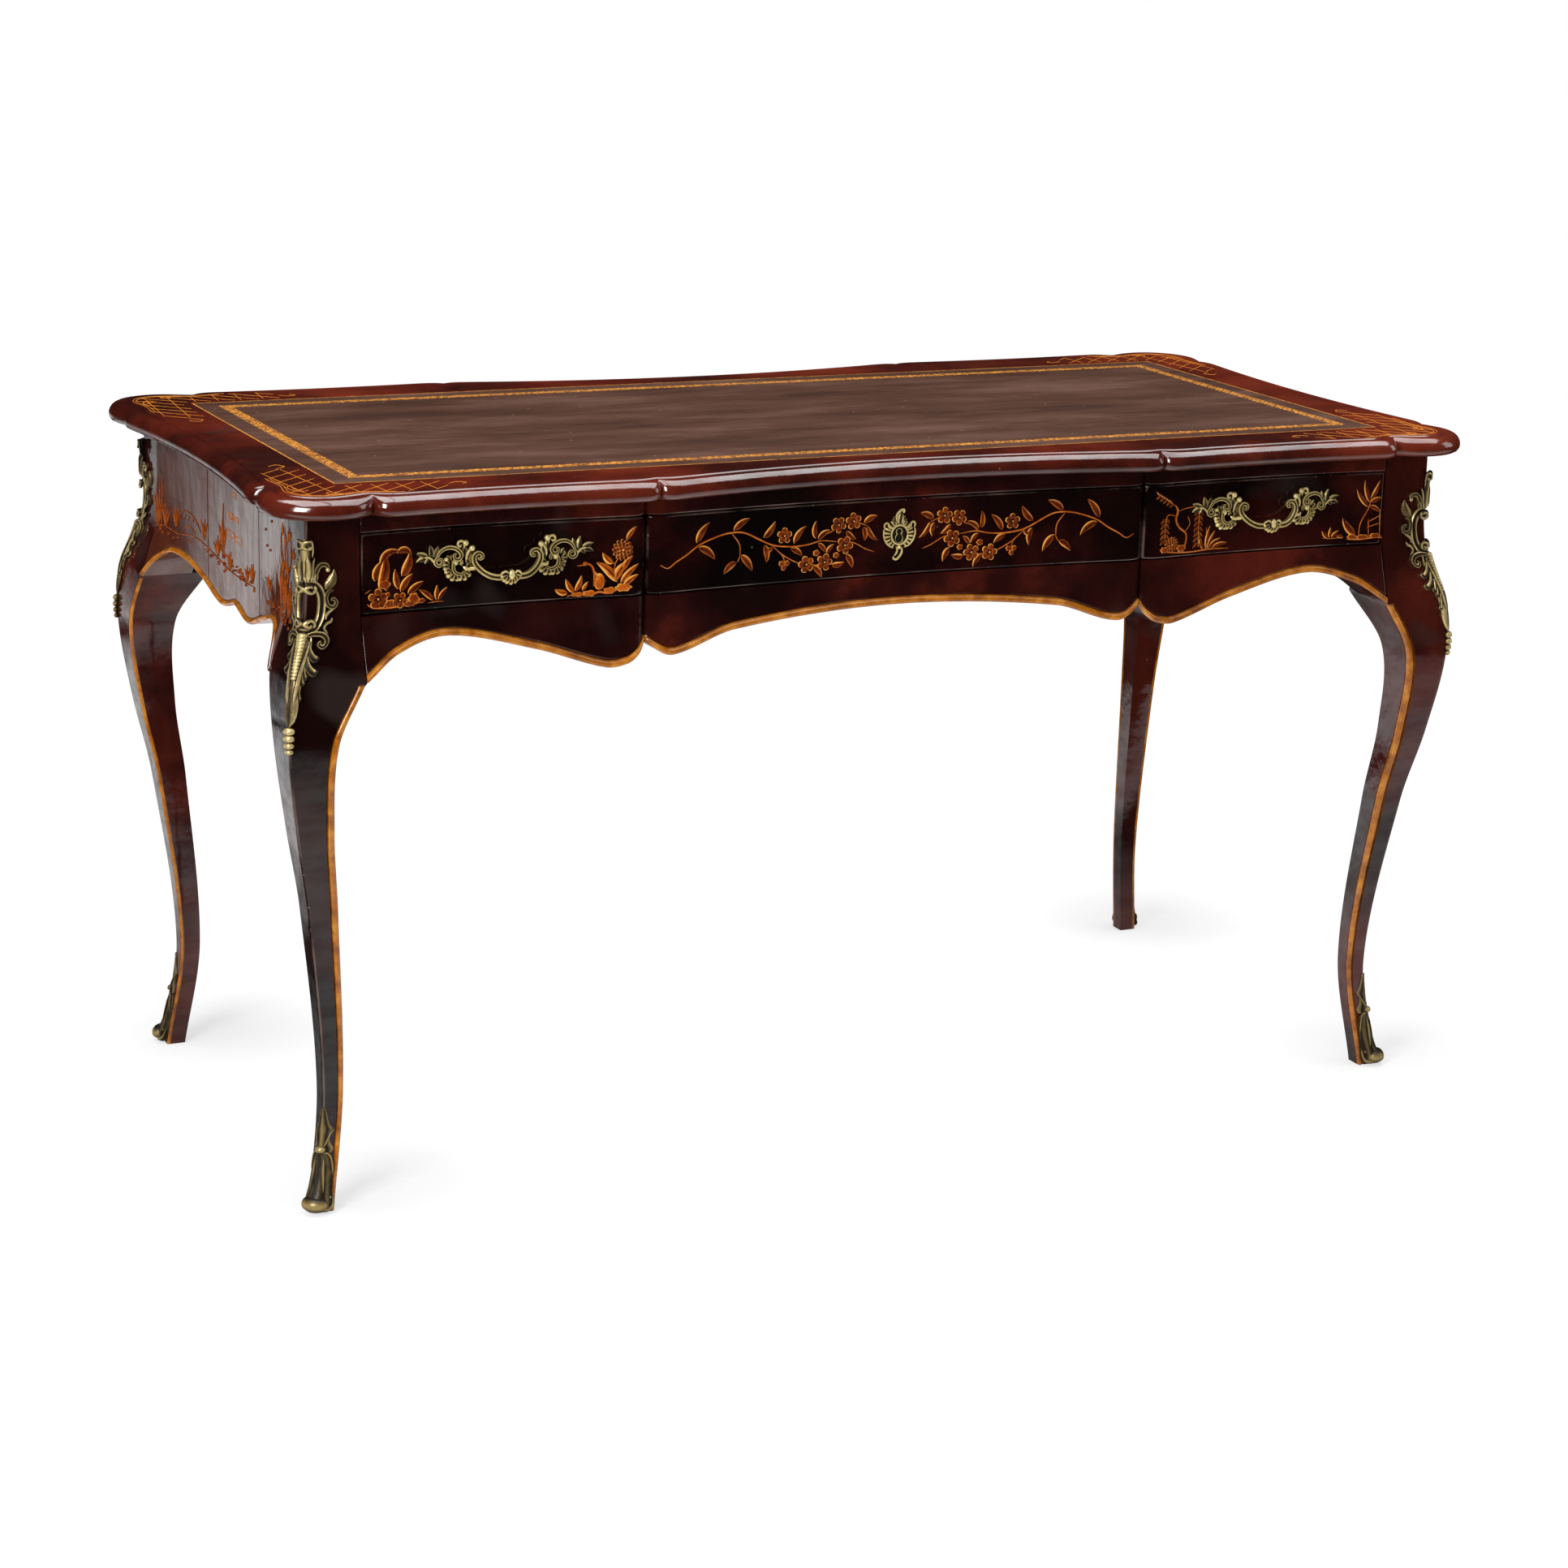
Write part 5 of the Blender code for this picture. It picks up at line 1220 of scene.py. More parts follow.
def ball(work, lay, centre, radius, sides=14):
    grid = []
    for i in range(9):
        b = math.pi * (i / 8 - 0.5)
        level = max(math.cos(b), 0.03)
        row = []
        for k in range(sides):
            a = 2 * math.pi * k / sides
            point = (centre[0] + radius * level * math.cos(a), centre[1] + radius * level * math.sin(a),
                     centre[2] + radius * math.sin(b))
            # Tone: bright toward the outer pole and dark toward the plate: painted highlight and painted
            # shade.
            row.append((lay(*point), min(1.0, 0.45 + 0.5 * math.sin(b) + 0.1)))
        grid.append(row)
    sheet(work, grid, ring=True)


def fan(work, lay, hinge, radius, heading, spread, ribs, height, base=0.0):
    """A ribbed shell that opens from its hinge, scalloped along its rim."""
    columns = ribs * 6
    grid = []
    for i in range(8):
        share = i / 7
        row = []
        for k in range(columns + 1):
            a = math.radians(heading - spread / 2 + spread * k / columns)
            lobe = abs(math.sin(math.pi * ribs * k / columns)) ** 0.6
            far = radius * share * (0.80 + 0.20 * lobe) + radius * 0.04
            rise = base + height * (math.sin(math.pi * min(share * 0.92 + 0.05, 1.0)) * (0.45 + 0.55 * lobe)
                                    + 0.12 * (share > 0.85))
            if i == 7:
                rise = base - 0.1 * height
            # Tone: bright on the ribs' crests and rim, dark between the ribs toward the hinge: painted
            # highlight and painted shade.
            row.append((lay(hinge[0] + far * math.cos(a), hinge[1] + far * math.sin(a), rise),
                        (0.35 + 0.65 * lobe if share > 0.8 else 0.62 * lobe ** 3 + 0.04)))
        grid.append(row)
    sheet(work, grid)


def millimetres(*points):
    return [tuple(c * MM for c in p) for p in points]


BRONZE_LEAF = (1.0, 0.42, 0.06)


def handle_half(work, lay):
    """One end plate and half of the grip, in mm from the handle's middle."""
    def bar(radii, *points, **more):
        roll(work, lay, millimetres(*points), [r * MM for r in radii], **more)

    def spray(x0, z0, x1, z1, width, bend=0.05, height=2.6, lift=1.8):
        def raised(u, v, h):
            return lay(u, v, h + lift * MM)
        leaf(work, raised, (x0 * MM, z0 * MM), (x1 * MM, z1 * MM), width * MM, bend, height * MM,
             BRONZE_LEAF)

    bar((3.4, 3.4, 3.3, 3.1, 2.9, 2.5, 2.1, 1.8, 1.4), (0, 33.6, 16.0), (9, 33.8, 15.8), (18, 34.4, 14.8),
        (25.5, 37.4, 12.4),
        (31.8, 42.4, 9.5), (36, 48.6, 7.0), (36.2, 54.2, 5.5), (32.5, 58, 5), (28, 57, 5), (26.6, 53.6, 5),
        (29.4, 51.6, 5),
        (31.6, 53.8, 5), flutes=4)
    bar((2.0, 2.8, 2.4, 2.8, 1.7), (33, 43, 8), (38, 42.5, 5), (43, 42, 3.5), (47, 44.5, 3))
    bar((1.4, 1.8, 2.2, 2.4, 2.4, 2.2, 2.0, 1.7, 1.4, 1.2), (75.5, 54, 3.4), (72, 61, 3.6), (65, 65, 3.8),
        (58, 64.8, 3.8),
        (52.5, 62, 3.8), (49.2, 57, 3.8), (51.6, 52.6, 3.8), (56, 53.4, 3.8), (56.4, 57.4, 3.8),
        (53.2, 57.8, 3.8), flutes=4)
    bar((1.5, 2.1, 2.0, 1.7, 1.4, 1.2), (75, 56.5, 3.2), (77, 50, 3.2), (73, 46.8, 3.2), (69, 50, 3.2),
        (71.4, 53.8, 3.2), (74, 51.4, 3.2), flutes=4)
    bar((1.8, 1.7, 1.5, 1.2), (76, 48.5, 3), (80, 53, 3), (84, 56, 3), (90, 56, 3))
    bar((1.3, 1.8, 1.9, 1.8, 1.5, 1.2), (42, 40, 3), (49, 36.6, 3), (55.6, 39, 3), (57.6, 45, 3),
        (55, 50.4, 3), (49.8, 51.4, 3),
        (48.2, 48, 3), (50.8, 46.6, 3), flutes=4)
    bar((1.2, 1.9, 1.8, 1.4, 1.1), (46, 63, 4), (46.6, 70, 4), (51, 71.4, 4), (53.2, 68, 4),
        (50.6, 65.6, 4), (49.2, 68, 4))
    bar((1.4, 2.0, 1.8, 1.2), (44, 50, 3.4), (43, 57, 3.8), (40, 62, 4.2), (36.6, 64.5, 4.2))
    ball(work, lay, (37.6 * MM, 63.2 * MM, 4.2 * MM), 3.3 * MM)
    ball(work, lay, (44.6 * MM, 69.2 * MM, 4.4 * MM), 3.3 * MM)
    ball(work, lay, (55 * MM, 49 * MM, 1.2 * MM), 3.6 * MM)
    for row in ((80, 55, 82.4, 68.5, 6.0), (77.6, 56, 73.4, 67, 5.2), (84, 56, 97, 60.4, 5.6),
                (85, 55.5, 97, 51.5, 5.6),
                (83, 55, 87.5, 49.5, 4.2), (43, 51, 39.4, 61.5, 6.0), (45, 55, 45.6, 67, 6.0),
                (60, 51, 64, 57, 3.6),
                (58, 51, 59.4, 57.4, 3.2), (40, 46, 43.4, 54, 5.0)):
        spray(*row)
    for x, z, radius, heading, spread, ribs in ((60, 47, 8.5, 5, 130, 3), (58.5, 42, 8, -25, 120, 3),
                                                (54.5, 39.5, 10.5, -68, 110, 3),
                                                (47, 40, 11, -110, 110, 3), (44.5, 43, 7.5, 170, 140, 3)):
        fan(work, lay, (x * MM, z * MM), radius * MM, heading, spread, ribs, 3.6 * MM, 1.0 * MM)


HANDLE_REACH = 0.097


def on_handle(centre, mirror):
    plate = frieze_front(centre + HANDLE_REACH) + SEAT

    def lay(u, v, h):
        return (centre + mirror * u, -(plate + h), DRAWER_LOW + v)
    return lay


for place_name, centre in (("left", -BAY_X), ("right", BAY_X)):
    work = new_work()
    for mirror in (-1, 1):
        handle_half(work, on_handle(centre, mirror))
    lay = on_handle(centre, 1)
    for side in (-1, 1):
        fan(work, lay, (side * 3 * MM, 37 * MM), 9.5 * MM, -90 + side * 50, 80, 2, 4 * MM, 16.5 * MM)
        roll(work, lay, millimetres((side * 11, 33.6, 16), (side * 10, 38, 17.5), (side * 6, 40, 19),
                                    (side * 3.5, 37.6, 20)),
             [1.2 * MM, 1.6 * MM, 1.5 * MM, 1.0 * MM])
    fan(work, lay, (0.0, 36.6 * MM), 11.0 * MM, -90, 84, 3, 4.0 * MM, 17.5 * MM)

    def proud(u, v, h):
        return lay(u, v, h + 18.0 * MM)
    # A boss bright on its crown and dark round its foot: painted highlight and painted shade.
    dome(work, proud, (0.0, 36.5 * MM), 4.2 * MM, 6.6 * MM, 4.2 * MM, tones=(0.08, 0.95))
    handle = finished(f"visual_handle_{place_name}", work, BRONZE, f"drawer_{place_name}", 60.0)
    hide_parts(f"handle_{place_name}")


# Escutcheon and lock. A cast cartouche: ribbed wings about an oval rim, a flame of leaves above and a
# scrolled tail. Behind it the lock case and its bolt, and the handles' bolts, are plain forged steel.

LOCK_Z = 0.6863


def on_plate(u, v, h):
    return (u, -(frieze_front(0.0) + SEAT + h), LOCK_Z + v)


work = new_work()
for mirror in (-1, 1):
    def wing(u, v, h, mirror=mirror):
        return on_plate(mirror * u, v, h)
    flange = []
    for share in (0.0, 0.25, 0.5, 0.75, 0.92, 1.0):
        row = []
        for k in range(49):
            a = math.radians(68 - 136 * k / 48)
            crest = abs(math.sin(8 * math.pi * k / 48))
            far = 9.4 + (7.6 + 1.4 * crest) * share
            rise = (0.7 + 1.9 * crest * math.sin(math.pi * (0.12 + 0.76 * share))) if share < 1.0 else -0.1
            # Tone: bright on the crests of the ribs and dark between them: painted highlight and painted
            # shade.
            row.append((wing(far * math.cos(a) * 0.99 * MM, far * math.sin(a) * 0.92 * MM, rise * MM),
                        0.02 + 0.96 * crest ** 2))
        flange.append(row)
    sheet(work, flange)
    roll(work, wing, millimetres((17.5, 7, 1.6), (18.6, 11, 1.6), (16.4, 13.6, 1.6), (13.8, 12.4, 1.6),
                                 (13.4, 9.6, 1.6), (10, 7.6, 1.6),
                                 (6, 9, 1.6), (4.4, 12.2, 1.6), (6.6, 14, 1.6), (8.0, 12.4, 1.6)),
         [c * MM for c in (1.1, 1.5, 1.5, 1.3, 1.5, 1.4, 1.2, 0.9)])
    roll(work, wing, millimetres((18.4, 8, 1.4), (19, 1, 1.4), (17, -6, 1.4), (12.4, -11.4, 1.4),
                                 (6, -14.6, 1.4)),
         [c * MM for c in (0.9, 1.3, 1.3, 1.2, 0.9)])
    for x, z, width in ((8.8, 16.8, 3.0), (6.4, 20.4, 3.2), (3.4, 22.8, 3.4)):
        leaf(work, lambda u, v, h, wing=wing: wing(u, v, h + 0.9 * MM), (2.0 * MM, 10.6 * MM),
             (x * MM, z * MM), width * MM, -0.16,
             2.0 * MM, BRONZE_LEAF)
rim = [(10.0 * math.cos(a), 10.6 * math.sin(a), 2.0) for a in np.linspace(0.0, 2 * math.pi, 25)]
roll(work, on_plate, millimetres(*rim), [1.5 * MM] * 3, per=2)
head = [(3.1 * math.cos(a), 3.4 + 3.1 * math.sin(a)) for a in np.linspace(-0.9, math.pi + 0.9, 30)]
keyhole = np.array(head + [(-1.5, 0.6), (-2.8, -8.4), (2.8, -8.4), (1.5, 0.6)]) - (0.0, 1.0)
bearing = np.unwrap(np.arctan2(keyhole[:, 1], keyhole[:, 0]))
turns = 2 * math.pi * np.arange(64) / 64
reach = np.interp(turns, bearing, np.hypot(*keyhole.T), period=2 * math.pi)
keyhole = [(r * math.cos(a), 1.0 + r * math.sin(a)) for r, a in zip(reach, turns)]
plate_rows = []
# Tone: a bright lip round the keyhole, a painted highlight, and a dark wall down into it, painted shade.
for share, rise, tone in ((1.0, 1.0, 0.22), (0.6, 1.2, 0.30), (0.20, 1.3, 0.34), (0.12, 1.6, 0.95),
                          (0.0, 1.5, 0.8), (0.0, -0.1, 0.0)):
    row = []
    for a, (u, v) in zip(turns, keyhole):
        u, v = u + (9.6 * math.cos(a) - u) * share, v + (10.2 * math.sin(a) - v) * share
        row.append((on_plate(u * MM, v * MM, rise * MM), tone))
    plate_rows.append(row)
sheet(work, plate_rows, ring=True)
roll(work, on_plate, millimetres((-1.5, 13, 1.6), (-4.5, 18, 1.8), (-3.5, 23, 2.0), (0.5, 27, 2.2),
                                 (4.0, 27.4, 2.2), (4.6, 25, 2.2), (2.8, 24.6, 2.2)),
     [c * MM for c in (1.4, 1.8, 1.8, 1.5, 1.1)])
leaf(work, lambda u, v, h: on_plate(u, v, h + 1.0 * MM), (0.0, 10.4 * MM), (1.5 * MM, 25.0 * MM), 4.6 * MM,
     0.05, 2.4 * MM, BRONZE_LEAF)
ball(work, on_plate, (0.0, -13.8 * MM, 1.8 * MM), 2.2 * MM)
roll(work, on_plate, millimetres((2.5, -13, 1.4), (3.6, -18, 1.4), (1.5, -23, 1.4), (-3, -27, 1.4),
                                 (-6.5, -25.5, 1.4), (-5.6, -23.4, 1.4)),
     [c * MM for c in (1.2, 1.8, 1.8, 1.5, 1.0)])
roll(work, on_plate, millimetres((-3.5, -12.5, 1.2), (-2.0, -17, 1.2), (-3.4, -21, 1.2), (-5.6, -23, 1.2)),
     [c * MM for c in (1.0, 1.5, 1.3, 0.9)])
escutcheon = finished("visual_escutcheon", work, BRONZE, "drawer_centre", 60.0)
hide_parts("escutcheon")

# A near-black lining behind the keyhole: a painted shadow for the depth of the hole, finely varied.
KEYWAY, tree, shader, place = new_finish("dark_keyway")
shadow_grain = noise(tree, place, 300.0, 4.0)
link(tree, shader, Base_Color=colours(tree, shadow_grain, (0.3, (0.0012, 0.0010, 0.0009)),
                                      (0.7, (0.005, 0.004, 0.003))))
link(tree, shader, Roughness=ranged(tree, shadow_grain, 0.3, 0.7, 0.8, 0.95))
ring = [on_plate(u * MM, v * MM, 0.05 * MM) for u, v in keyhole]
keyway = piece_from("keyway_shadow", ring + [(x, y + 0.004, z) for x, y, z in ring],
                    skin([ring, ring]), KEYWAY, "drawer_centre")

STEEL, tree, shader, place = new_finish("forged_steel")
scale = noise(tree, place, 120.0, 6.0, rough=0.65)
rub = noise(tree, place, 500.0, 3.0, stretch=(0.3, 1.0, 3.0))
link(tree, shader, Base_Color=colours(tree, scale, (0.3, (0.085, 0.075, 0.068)), (0.6, (0.26, 0.255, 0.25)),
                                      (0.8, (0.16, 0.10, 0.065))))
link(tree, shader, Roughness=ranged(tree, sums(tree, "ADD", scale, rub), 0.6, 1.4, 0.32, 0.55))
shader.inputs["Metallic"].default_value = 1.0
bumped(tree, shader, rub, 0.2, 0.0004)
for name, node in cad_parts.items():
    if name.startswith(("handle_bolt", "lock_")):
        dress(node, STEEL)


# Corner mounts. One casting sits on each knee: a scroll and upright leaf, an open cartouche on the
# arris, then a leaf that runs down to a string of beads. Pins through its edges hold it.

WRAP = 0.004


def on_corner(side, end, mirror=1):
    quarter = WRAP * math.pi / 4

    def lay(s, z, h):
        s = mirror * s
        reach = leg_reach(z)
        x, y = HALF_LENGTH + reach, HALF_DEPTH + reach
        if s > quarter:
            a, b = x - WRAP - (s - quarter), y + h
        elif s < -quarter:
            a, b = x + h, y - WRAP + (s + quarter)
        else:
            turn = math.pi / 4 + s / WRAP
            a, b = x - WRAP + (WRAP + h) * math.cos(turn), y - WRAP + (WRAP + h) * math.sin(turn)
        return (side * a, end * b, z)
    return lay


CHUTE_LEAF = (1.0, 0.72, 0.34)
# Ridged band across (across, rise, tone): bright on the raised edges and dark in the middle hollow, painted
# highlight and painted shade.
RIDGED = ((-1, -0.1, 0.2), (-0.88, 0.75, 0.85), (-0.62, 1.0, 1.0), (-0.3, 0.66, 0.35), (0, 0.56, 0.25),
          (0.3, 0.66, 0.35), (0.62, 1.0, 1.0), (0.88, 0.75, 0.85), (1, -0.1, 0.2))


def chute_wing(work, lay):
    """The part of the mount on one face of the leg: s from the arris and z, in mm."""
    def bar(radii, *points, **more):
        roll(work, lay, millimetres(*points), [r * MM for r in radii], **more)

    def frond(x0, z0, x1, z1, width, bend, height=2.8, lift=0.5):
        leaf(work, lambda u, v, h: lay(u, v, h + lift * MM), (x0 * MM, z0 * MM), (x1 * MM, z1 * MM),
             width * MM, bend,
             height * MM, CHUTE_LEAF)

    def ridged(width, height, *points, taper=0.8):
        stroke(work, lay, millimetres(*points), width * MM, height * MM, taper=taper, profile=RIDGED)

    # Upright leaf and the scroll at the side of the column
    bar((2.4, 2.2, 1.8, 1.0), (3.6, 681, 3.4), (5.0, 690, 3.6), (5.6, 698, 3.6), (7.6, 705.4, 3.0))
    bar((2.2, 2.0, 1.6, 0.9), (6.4, 681, 2.6), (8.2, 688, 2.8), (9.4, 693, 2.6), (12.4, 698.4, 2.0))
    bar((1.9, 1.7, 1.2), (1.8, 682, 5.0), (2.2, 694, 5.6), (1.6, 707, 5.8))
    bar((1.0, 1.4, 1.6, 1.5, 1.3, 1.0), (4.4, 706, 5.2), (4.8, 715, 5.8), (3.4, 722.4, 6.4),
        (0.4, 721, 7.0), (0.2, 716.4, 7.2),
        (2.4, 714.8, 7.2), (3.0, 717.8, 7.2))
    # Curls along the outer side
    bar((2.0, 2.6, 2.6, 2.4, 1.9), (9.4, 680, 2.4), (9.0, 690, 2.6), (13.4, 697.4, 2.6), (19.4, 697.4, 2.6),
        (22.6, 693, 2.6), flutes=4)
    ball(work, lay, (21.2 * MM, 692.4 * MM, 3.0 * MM), 2.6 * MM, 10)
    frond(19.4, 672, 28.4, 692, 10.5, -0.14, 3.2)
    frond(20.0, 673, 31.2, 682, 7.0, 0.16, 2.6, 0.9)
    bar((1.2, 1.9, 2.2, 2.2, 1.8, 1.4), (28.4, 671, 2.2), (22.4, 670, 2.2), (20.0, 663.4, 2.2),
        (22.6, 656, 2.2), (28.4, 654.2, 2.2),
        (31.0, 658.6, 2.2), (28.0, 662.6, 2.2), (25.6, 660.0, 2.2), flutes=4)
    bar((1.2, 2.0, 2.2, 1.6), (29.4, 652.4, 2.2), (24.4, 650, 2.2), (20.8, 645.8, 2.2), (20.6, 641.6, 2.2))
    bar((1.3, 2.0, 2.0, 1.8, 1.2), (27.4, 643.4, 2.2), (26.4, 640, 2.2), (22.4, 638, 2.2), (20.2, 633, 2.2),
        (25.0, 627.6, 2.2))
    # Open cartouche: a broad ridged band that ends in volutes at the arris
    ridged(9.6, 3.8, (1.0, 678.6), (6.8, 678.0), (12.6, 672.6), (15.6, 664), (16.0, 654.4), (14.8, 643.4),
           (10.4, 634.4), (4.6, 630.6),
           (-0.5, 630.2))
    bar((2.4, 2.2, 1.9, 1.6, 1.2), (7.4, 677.2, 4.4), (8.0, 672.4, 4.6), (3.6, 669.6, 4.8),
        (0.6, 673.4, 4.8), (3.2, 676.6, 4.8), (4.8, 673.8, 4.8))
    bar((2.4, 2.2, 1.9, 1.6, 1.2), (8.2, 634.4, 4.4), (8.6, 639.4, 4.6), (4.2, 642.2, 4.8),
        (1.0, 638.6, 4.8), (3.6, 635.2, 4.8), (5.2, 638, 4.8))
    # Long leaf: a turned-over scroll, then lobes that overlap down to the tip
    ridged(10.0, 2.6, (6.0, 629), (6.0, 612), (4.4, 596), (2.6, 576), (1.0, 556), taper=0.45)
    bar((2.0, 2.8, 2.8, 2.4, 2.0, 1.5), (1.4, 627.4, 3.4), (9.6, 629.0, 3.2), (19.6, 627.2, 3.0),
        (24.6, 621.2, 3.0), (21.6, 615.6, 3.0),
        (16.8, 618.2, 3.0), (18.6, 621.8, 3.0), flutes=4)
    for x0, z0, x1, z1, x2, z2, thick in ((4, 624, 9.4, 611, 16.4, 604.6, 3.5),
                                          (4, 613, 9.6, 599, 17.4, 591.8, 3.7),
                                          (3.4, 605, 6.0, 594, 9.0, 587.4, 2.7),
                                          (3, 598, 5.0, 588, 7.4, 581.6, 2.4),
                                          (2.6, 588, 4.0, 575, 5.6, 566.8, 2.6),
                                          (2, 578, 2.8, 566, 3.8, 559.2, 2.1)):
        bar((1.4, 0.85 * thick, thick, 0.8 * thick), (x0, z0, 2.6), (x1, z1, 2.8), (x2, z2, 2.6),
            (x2 + 1.8, z2 + 3.0, 2.2), flutes=3, depth=0.10)
    bar((1.6, 1.9, 1.6, 1.0), (6.8, 624, 4.4), (4.2, 602, 4.6), (2.6, 580, 4.6), (1.4, 560, 4.2))


for side, end, name in CORNERS:
    work = new_work()
    for mirror in (1, -1):
        chute_wing(work, on_corner(side, end, mirror))
    lay = on_corner(side, end)
    roll(work, lay, millimetres((0, 680, 1.6), (0, 696, 2.2), (0, 710, 2.8), (0, 718, 3.2),
                                (0, 724.4, 3.4)),
         [r * MM for r in (3.6, 3.6, 3.4, 3.8, 3.4)], sides=18)
    for k in range(13):
        ball(work, lay, (0.0, (627 - 3.3 * k) * MM, 3.4 * MM), (3.4 - 0.12 * k) * MM, 12)
    leaf(work, lambda u, v, h: lay(u, v, h + 1.6 * MM), (0.0, 0.592), (0.0, 0.5390), 13.0 * MM, 0.0,
         3.6 * MM, CHUTE_LEAF, 1.5)
    for z, radius in ((535.0, 4.1), (527.6, 4.0), (520.2, 3.6), (513.6, 3.1)):
        ball(work, lay, (0.0, z * MM, 2.6 * MM), radius * MM)
    chute = finished(f"visual_chute_{name}", work, RICH_BRONZE, "frame", 60.0)
    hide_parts(f"chute_{name}")


# Foot shoes. Thinner castings, browner and less rubbed, wrap the outer corner of each foot: a leaf
# up the arris, a small collar, a fluted skirt and a scrolled toe.

DULL_BRONZE = cast_bronze("dull_bronze", (0.016, 0.011, 0.005), (0.185, 0.125, 0.042), (0.44, 0.325, 0.125))
shoe_width = smooth_curve((0.003, 0.0158), (0.022, 0.0155), (0.046, 0.0146), (0.056, 0.0122),
                          (0.061, 0.0088), (0.0645, 0.0030))
shoe_thick = smooth_curve((0.003, 0.0088), (0.012, 0.0090), (0.024, 0.0060), (0.040, 0.0040),
                          (0.0645, 0.0032))
tongue_width = smooth_curve((0.063, 0.0120), (0.067, 0.0138), (0.072, 0.0100), (0.079, 0.0082),
                            (0.084, 0.0098), (0.088, 0.0112),
                            (0.092, 0.0078), (0.097, 0.0056), (0.103, 0.0038), (0.108, 0.0024),
                            (0.1112, 0.0008))
# Tongue across (across, rise, tone): bright on the ridges and dark in the grooves, painted highlight and
# painted shade.
TONGUE = ((-1.0, -0.2, 0.3), (-0.9, 1.7, 0.85), (-0.7, 2.0, 0.7), (-0.45, 1.1, 0.15), (-0.2, 2.2, 0.6),
          (0.0, 2.8, 0.85),
          (0.2, 2.2, 0.6), (0.45, 1.1, 0.15), (0.7, 2.0, 0.7), (0.9, 1.7, 0.85), (1.0, -0.2, 0.3))
for side, end, name in CORNERS:
    work = new_work()
    lay = on_corner(side, end)
    grid = []
    for i in range(24):
        z = 0.003 + 0.0615 * i / 23
        half, thick = shoe_width(z), shoe_thick(z)
        row = []
        for k in range(33):
            s = k / 16 - 1
            flute = 0.0007 * math.cos(3.5 * math.pi * s) * (1 - i / 26)
            flute -= 0.0012 * math.exp(-(s / 0.07) ** 2) * (i > 5)
            rise = thick * (1 - 0.25 * s * s) + flute if abs(s) < 0.97 else -0.0002
            # Tone: bright on the flutes' crests, dark in the flutes and the middle groove: painted
            # highlight and painted shade.
            row.append((lay(half * s, z, rise), 0.45 + 420 * flute))
        grid.append(row)
    # A dark row along the foot of the shoe: painted shade where it meets the floor.
    under = [(lay(shoe_width(0.003) * (k / 16 - 1), 0.003, 0.0004), 0.1) for k in range(33)]
    sheet(work, [under] + grid)
    for mirror in (1, -1):
        wing = on_corner(side, end, mirror)

        def bar(radii, *points):
            roll(work, wing, millimetres(*points), [r * MM for r in radii])
        bar((1.2, 2.2, 2.4, 2.0, 1.4), (16, 20, 2.6), (16.4, 11, 4.2), (14, 6.4, 6.4), (8, 5.6, 8.2),
            (2.4, 7.2, 8.6))
        bar((0.9, 1.5, 1.7, 1.5, 1.1), (2.2, 63.5, 3.2), (6, 63, 3.2), (9.6, 59, 3.0), (12, 52, 2.8),
            (14.4, 40, 2.4))
        bar((1.0, 1.4, 1.2), (2.6, 58, 3.6), (3.2, 40, 4.2), (4.4, 22, 5.4))
        bar((1.0, 1.3, 1.2, 0.8), (2.0, 70, 3.0), (5.0, 78, 2.8), (9.0, 85, 2.2), (12.2, 87.4, 1.8))
        ball(work, wing, (12.6 * MM, 17 * MM, 4.6 * MM), 1.8 * MM)
    sheet(work, [[(lay(tongue_width(z) * s, z, rise * MM), tone) for s, rise, tone in TONGUE]
                 for z in np.linspace(0.063, 0.1112, 30)])
    ball(work, lay, (0.0, 0.067, 3.4 * MM), 3.4 * MM)
    roll(work, lay, millimetres((-8.5, 10.6, 4.6), (-4, 10.8, 8.2), (0, 11, 9.2), (4, 10.8, 8.2),
                                (8.5, 10.6, 4.6)),
         [r * MM for r in (3.6, 6.2, 7.2, 6.2, 3.6)])
    shoe = finished(f"visual_sabot_{name}", work, DULL_BRONZE, "frame", 60.0)
    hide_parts(f"sabot_{name}")


# Camera, floor and light. A plain white studio: a pale floor, a broad soft lamp over the desk, two
# side lamps, and the camera where the photograph was taken.

IMAGE_SIZE, FOCAL_PIXELS = 1932, 4424.5
YAW, PITCH, ROLL = 0.4441, 0.266, 0.0289
forward = Vector((math.sin(YAW) * math.cos(PITCH), math.cos(YAW) * math.cos(PITCH), -math.sin(PITCH)))
level = Vector((math.cos(YAW), -math.sin(YAW), 0.0))
upward = level.cross(forward)
across = level * math.cos(ROLL) + upward * math.sin(ROLL)
upward = upward * math.cos(ROLL) - level * math.sin(ROLL)
lens = bpy.data.cameras.new("camera")
lens.sensor_width = 36.0
lens.lens = FOCAL_PIXELS / IMAGE_SIZE * lens.sensor_width
lens.clip_end = 60.0
camera = linked("camera", lens)
turn = camera.matrix_world.to_3x3()
for row in range(3):
    turn[row] = (across[row], upward[row], -forward[row])
camera.matrix_world = turn.to_4x4()
camera.location = (-1.7454, -3.684, 1.4432)
bpy.context.scene.camera = camera

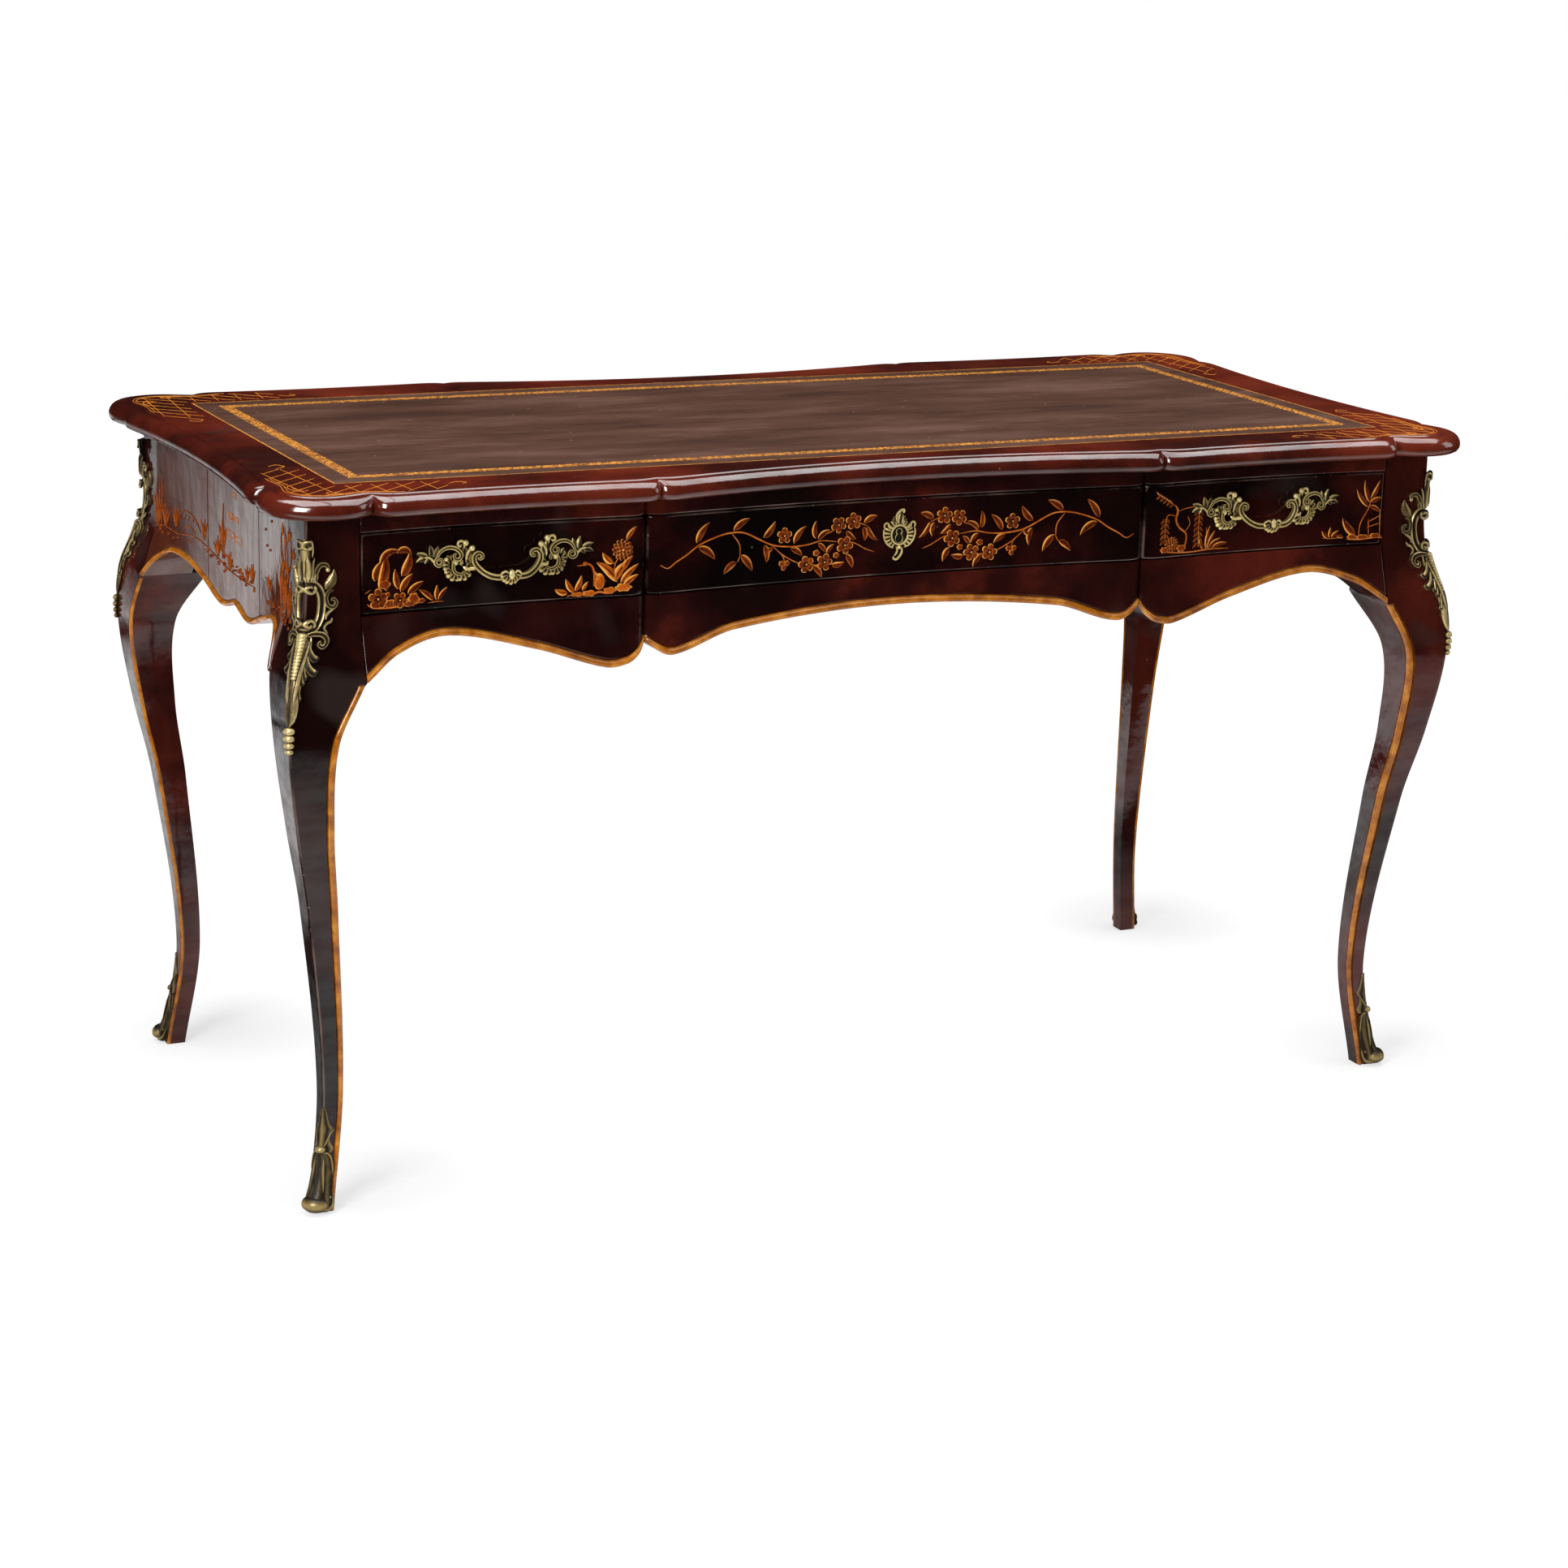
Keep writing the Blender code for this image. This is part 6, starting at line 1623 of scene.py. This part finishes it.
shape = bmesh.new()
bmesh.ops.create_circle(shape, cap_ends=True, radius=2.6, segments=96)
mesh = bpy.data.meshes.new("floor")
shape.to_mesh(mesh)
shape.free()
floor = linked("floor", mesh)
floor.location = (0.2, 0.6, -0.0005)
floor_finish = bpy.data.materials.new("white_floor")
floor_finish.use_nodes = True
tree = floor_finish.node_tree
tree.nodes.remove(tree.nodes["Principled BSDF"])
place = add_node(tree, "TexCoord").outputs["Object"]
path = add_node(tree, "LightPath")
by_camera = sums(tree, "MAXIMUM", path.outputs["Is Camera Ray"], path.outputs["Is Transmission Ray"])
spot = add_node(tree, "SeparateXYZ", {0: place})


def patch(x, y, near, far, strength):
    """Full strength around one spot of the floor, fading out from near to far."""
    off = add_node(tree, "VectorMath", {0: place, 1: (x, y, 0.0)}, operation="DISTANCE").outputs["Value"]
    return ranged(tree, off, near, far, strength, 0.0)


# The shadow of each foot, which falls to its right and back, measured from the floor's middle
FOOT_X, FOOT_Y, SHADOW_X, SHADOW_Y = 0.654, 0.284, -0.14, -0.565
by_foot = 0.0
for side, end, name in CORNERS:
    shadow = patch(side * FOOT_X + SHADOW_X, end * FOOT_Y + SHADOW_Y, 0.03, 0.17, 1.0)
    by_foot = sums(tree, "MAXIMUM", by_foot, shadow)
fade = ranged(tree, by_foot, 0.0, 1.0, 0.94, 0.50)
in_front = sums(tree, "MULTIPLY", ranged(tree, spot.outputs["Y"], -2.40, -1.35, 0.0, 0.58),
                ranged(tree, spot.outputs["Y"], -1.1, -0.9, 1.0, 0.0))
glow = sums(tree, "ADD", in_front, 0.03)
for mirrored in (patch(-0.35, 0.75, 0.5, 1.05, 0.9), patch(-1.80, 2.05, 0.35, 0.65, 1.0),
                 patch(-1.30, 0.65, 0.55, 0.85, 1.0), patch(-0.2, -0.6, 0.35, 0.9, 0.9)):
    glow = sums(tree, "MAXIMUM", glow, mirrored)
grit = noise(tree, place, 60.0, 3.0)
matt = add_node(tree, "BsdfDiffuse", {"Color": colours(tree, grit, (0.3, (0.88, 0.88, 0.88)),
                                                       (0.7, (0.92, 0.92, 0.92)))})
bright = sums(tree, "MAXIMUM", sums(tree, "MULTIPLY", by_camera, 1.06),
              sums(tree, "MULTIPLY", path.outputs["Is Glossy Ray"], glow))
white = add_node(tree, "Emission", {"Color": (1.0, 1.0, 1.0, 1.0), "Strength": bright})
share = sums(tree, "MAXIMUM", sums(tree, "MULTIPLY", by_camera, fade), path.outputs["Is Glossy Ray"])
both = add_node(tree, "MixShader", {0: share, 1: matt.outputs[0], 2: white.outputs[0]})
tree.links.new(both.outputs[0], tree.nodes["Material Output"].inputs["Surface"])
mesh.materials.append(floor_finish)

world = bpy.data.worlds.new("studio")
bpy.context.scene.world = world
world.use_nodes = True
tree = world.node_tree
path = add_node(tree, "LightPath")
seen = sums(tree, "MAXIMUM", path.outputs["Is Camera Ray"], path.outputs["Is Transmission Ray"])
toward = add_node(tree, "SeparateXYZ", {0: add_node(tree, "TexCoord").outputs["Generated"]})
behind = sums(tree, "MULTIPLY", ranged(tree, toward.outputs["X"], -0.55, -0.25, 0.15, 1.0),
              ranged(tree, toward.outputs["X"], -0.02, 0.12, 1.0, 0.0))
behind = sums(tree, "MULTIPLY", behind, ranged(tree, toward.outputs["Y"], 0.4, 0.7, 0.0, 1.0))
behind = sums(tree, "MULTIPLY", behind, ranged(tree, toward.outputs["Z"], -0.22, -0.08, 1.0, 0.0))
shown = sums(tree, "MULTIPLY", path.outputs["Is Glossy Ray"], behind)
room = mixed(tree, path.outputs["Is Glossy Ray"], (0.30, 0.30, 0.31), (0.01, 0.01, 0.01))
tree.links.new(mixed(tree, sums(tree, "MAXIMUM", seen, shown), room, (1.0, 1.0, 1.0)),
               tree.nodes["Background"].inputs["Color"])


def lamp(name, place, target, width, height, power):
    light = bpy.data.lights.new(name, "AREA")
    light.shape = "RECTANGLE"
    light.size, light.size_y, light.energy = width, height, power
    made = linked(name, light)
    made.location = place
    made.rotation_euler = (Vector(target) - Vector(place)).to_track_quat("-Z", "Y").to_euler()


lamp("over_lamp", (0.80, -0.21, 2.4), (0.80, -0.20, 0.7), 2.3, 2.0, 44.0)
lamp("left_over_lamp", (-1.05, -0.11, 2.3), (-1.05, -0.10, 0.7), 1.2, 1.8, 24.0)
lamp("left_lamp", (-2.6, -1.9, 1.9), (-0.1, -0.2, 0.55), 1.2, 1.6, 62.0)
lamp("right_lamp", (3.0, -1.1, 1.6), (0.2, -0.2, 0.5), 1.0, 1.6, 8.0)

bpy.context.scene.view_settings.view_transform = "Standard"
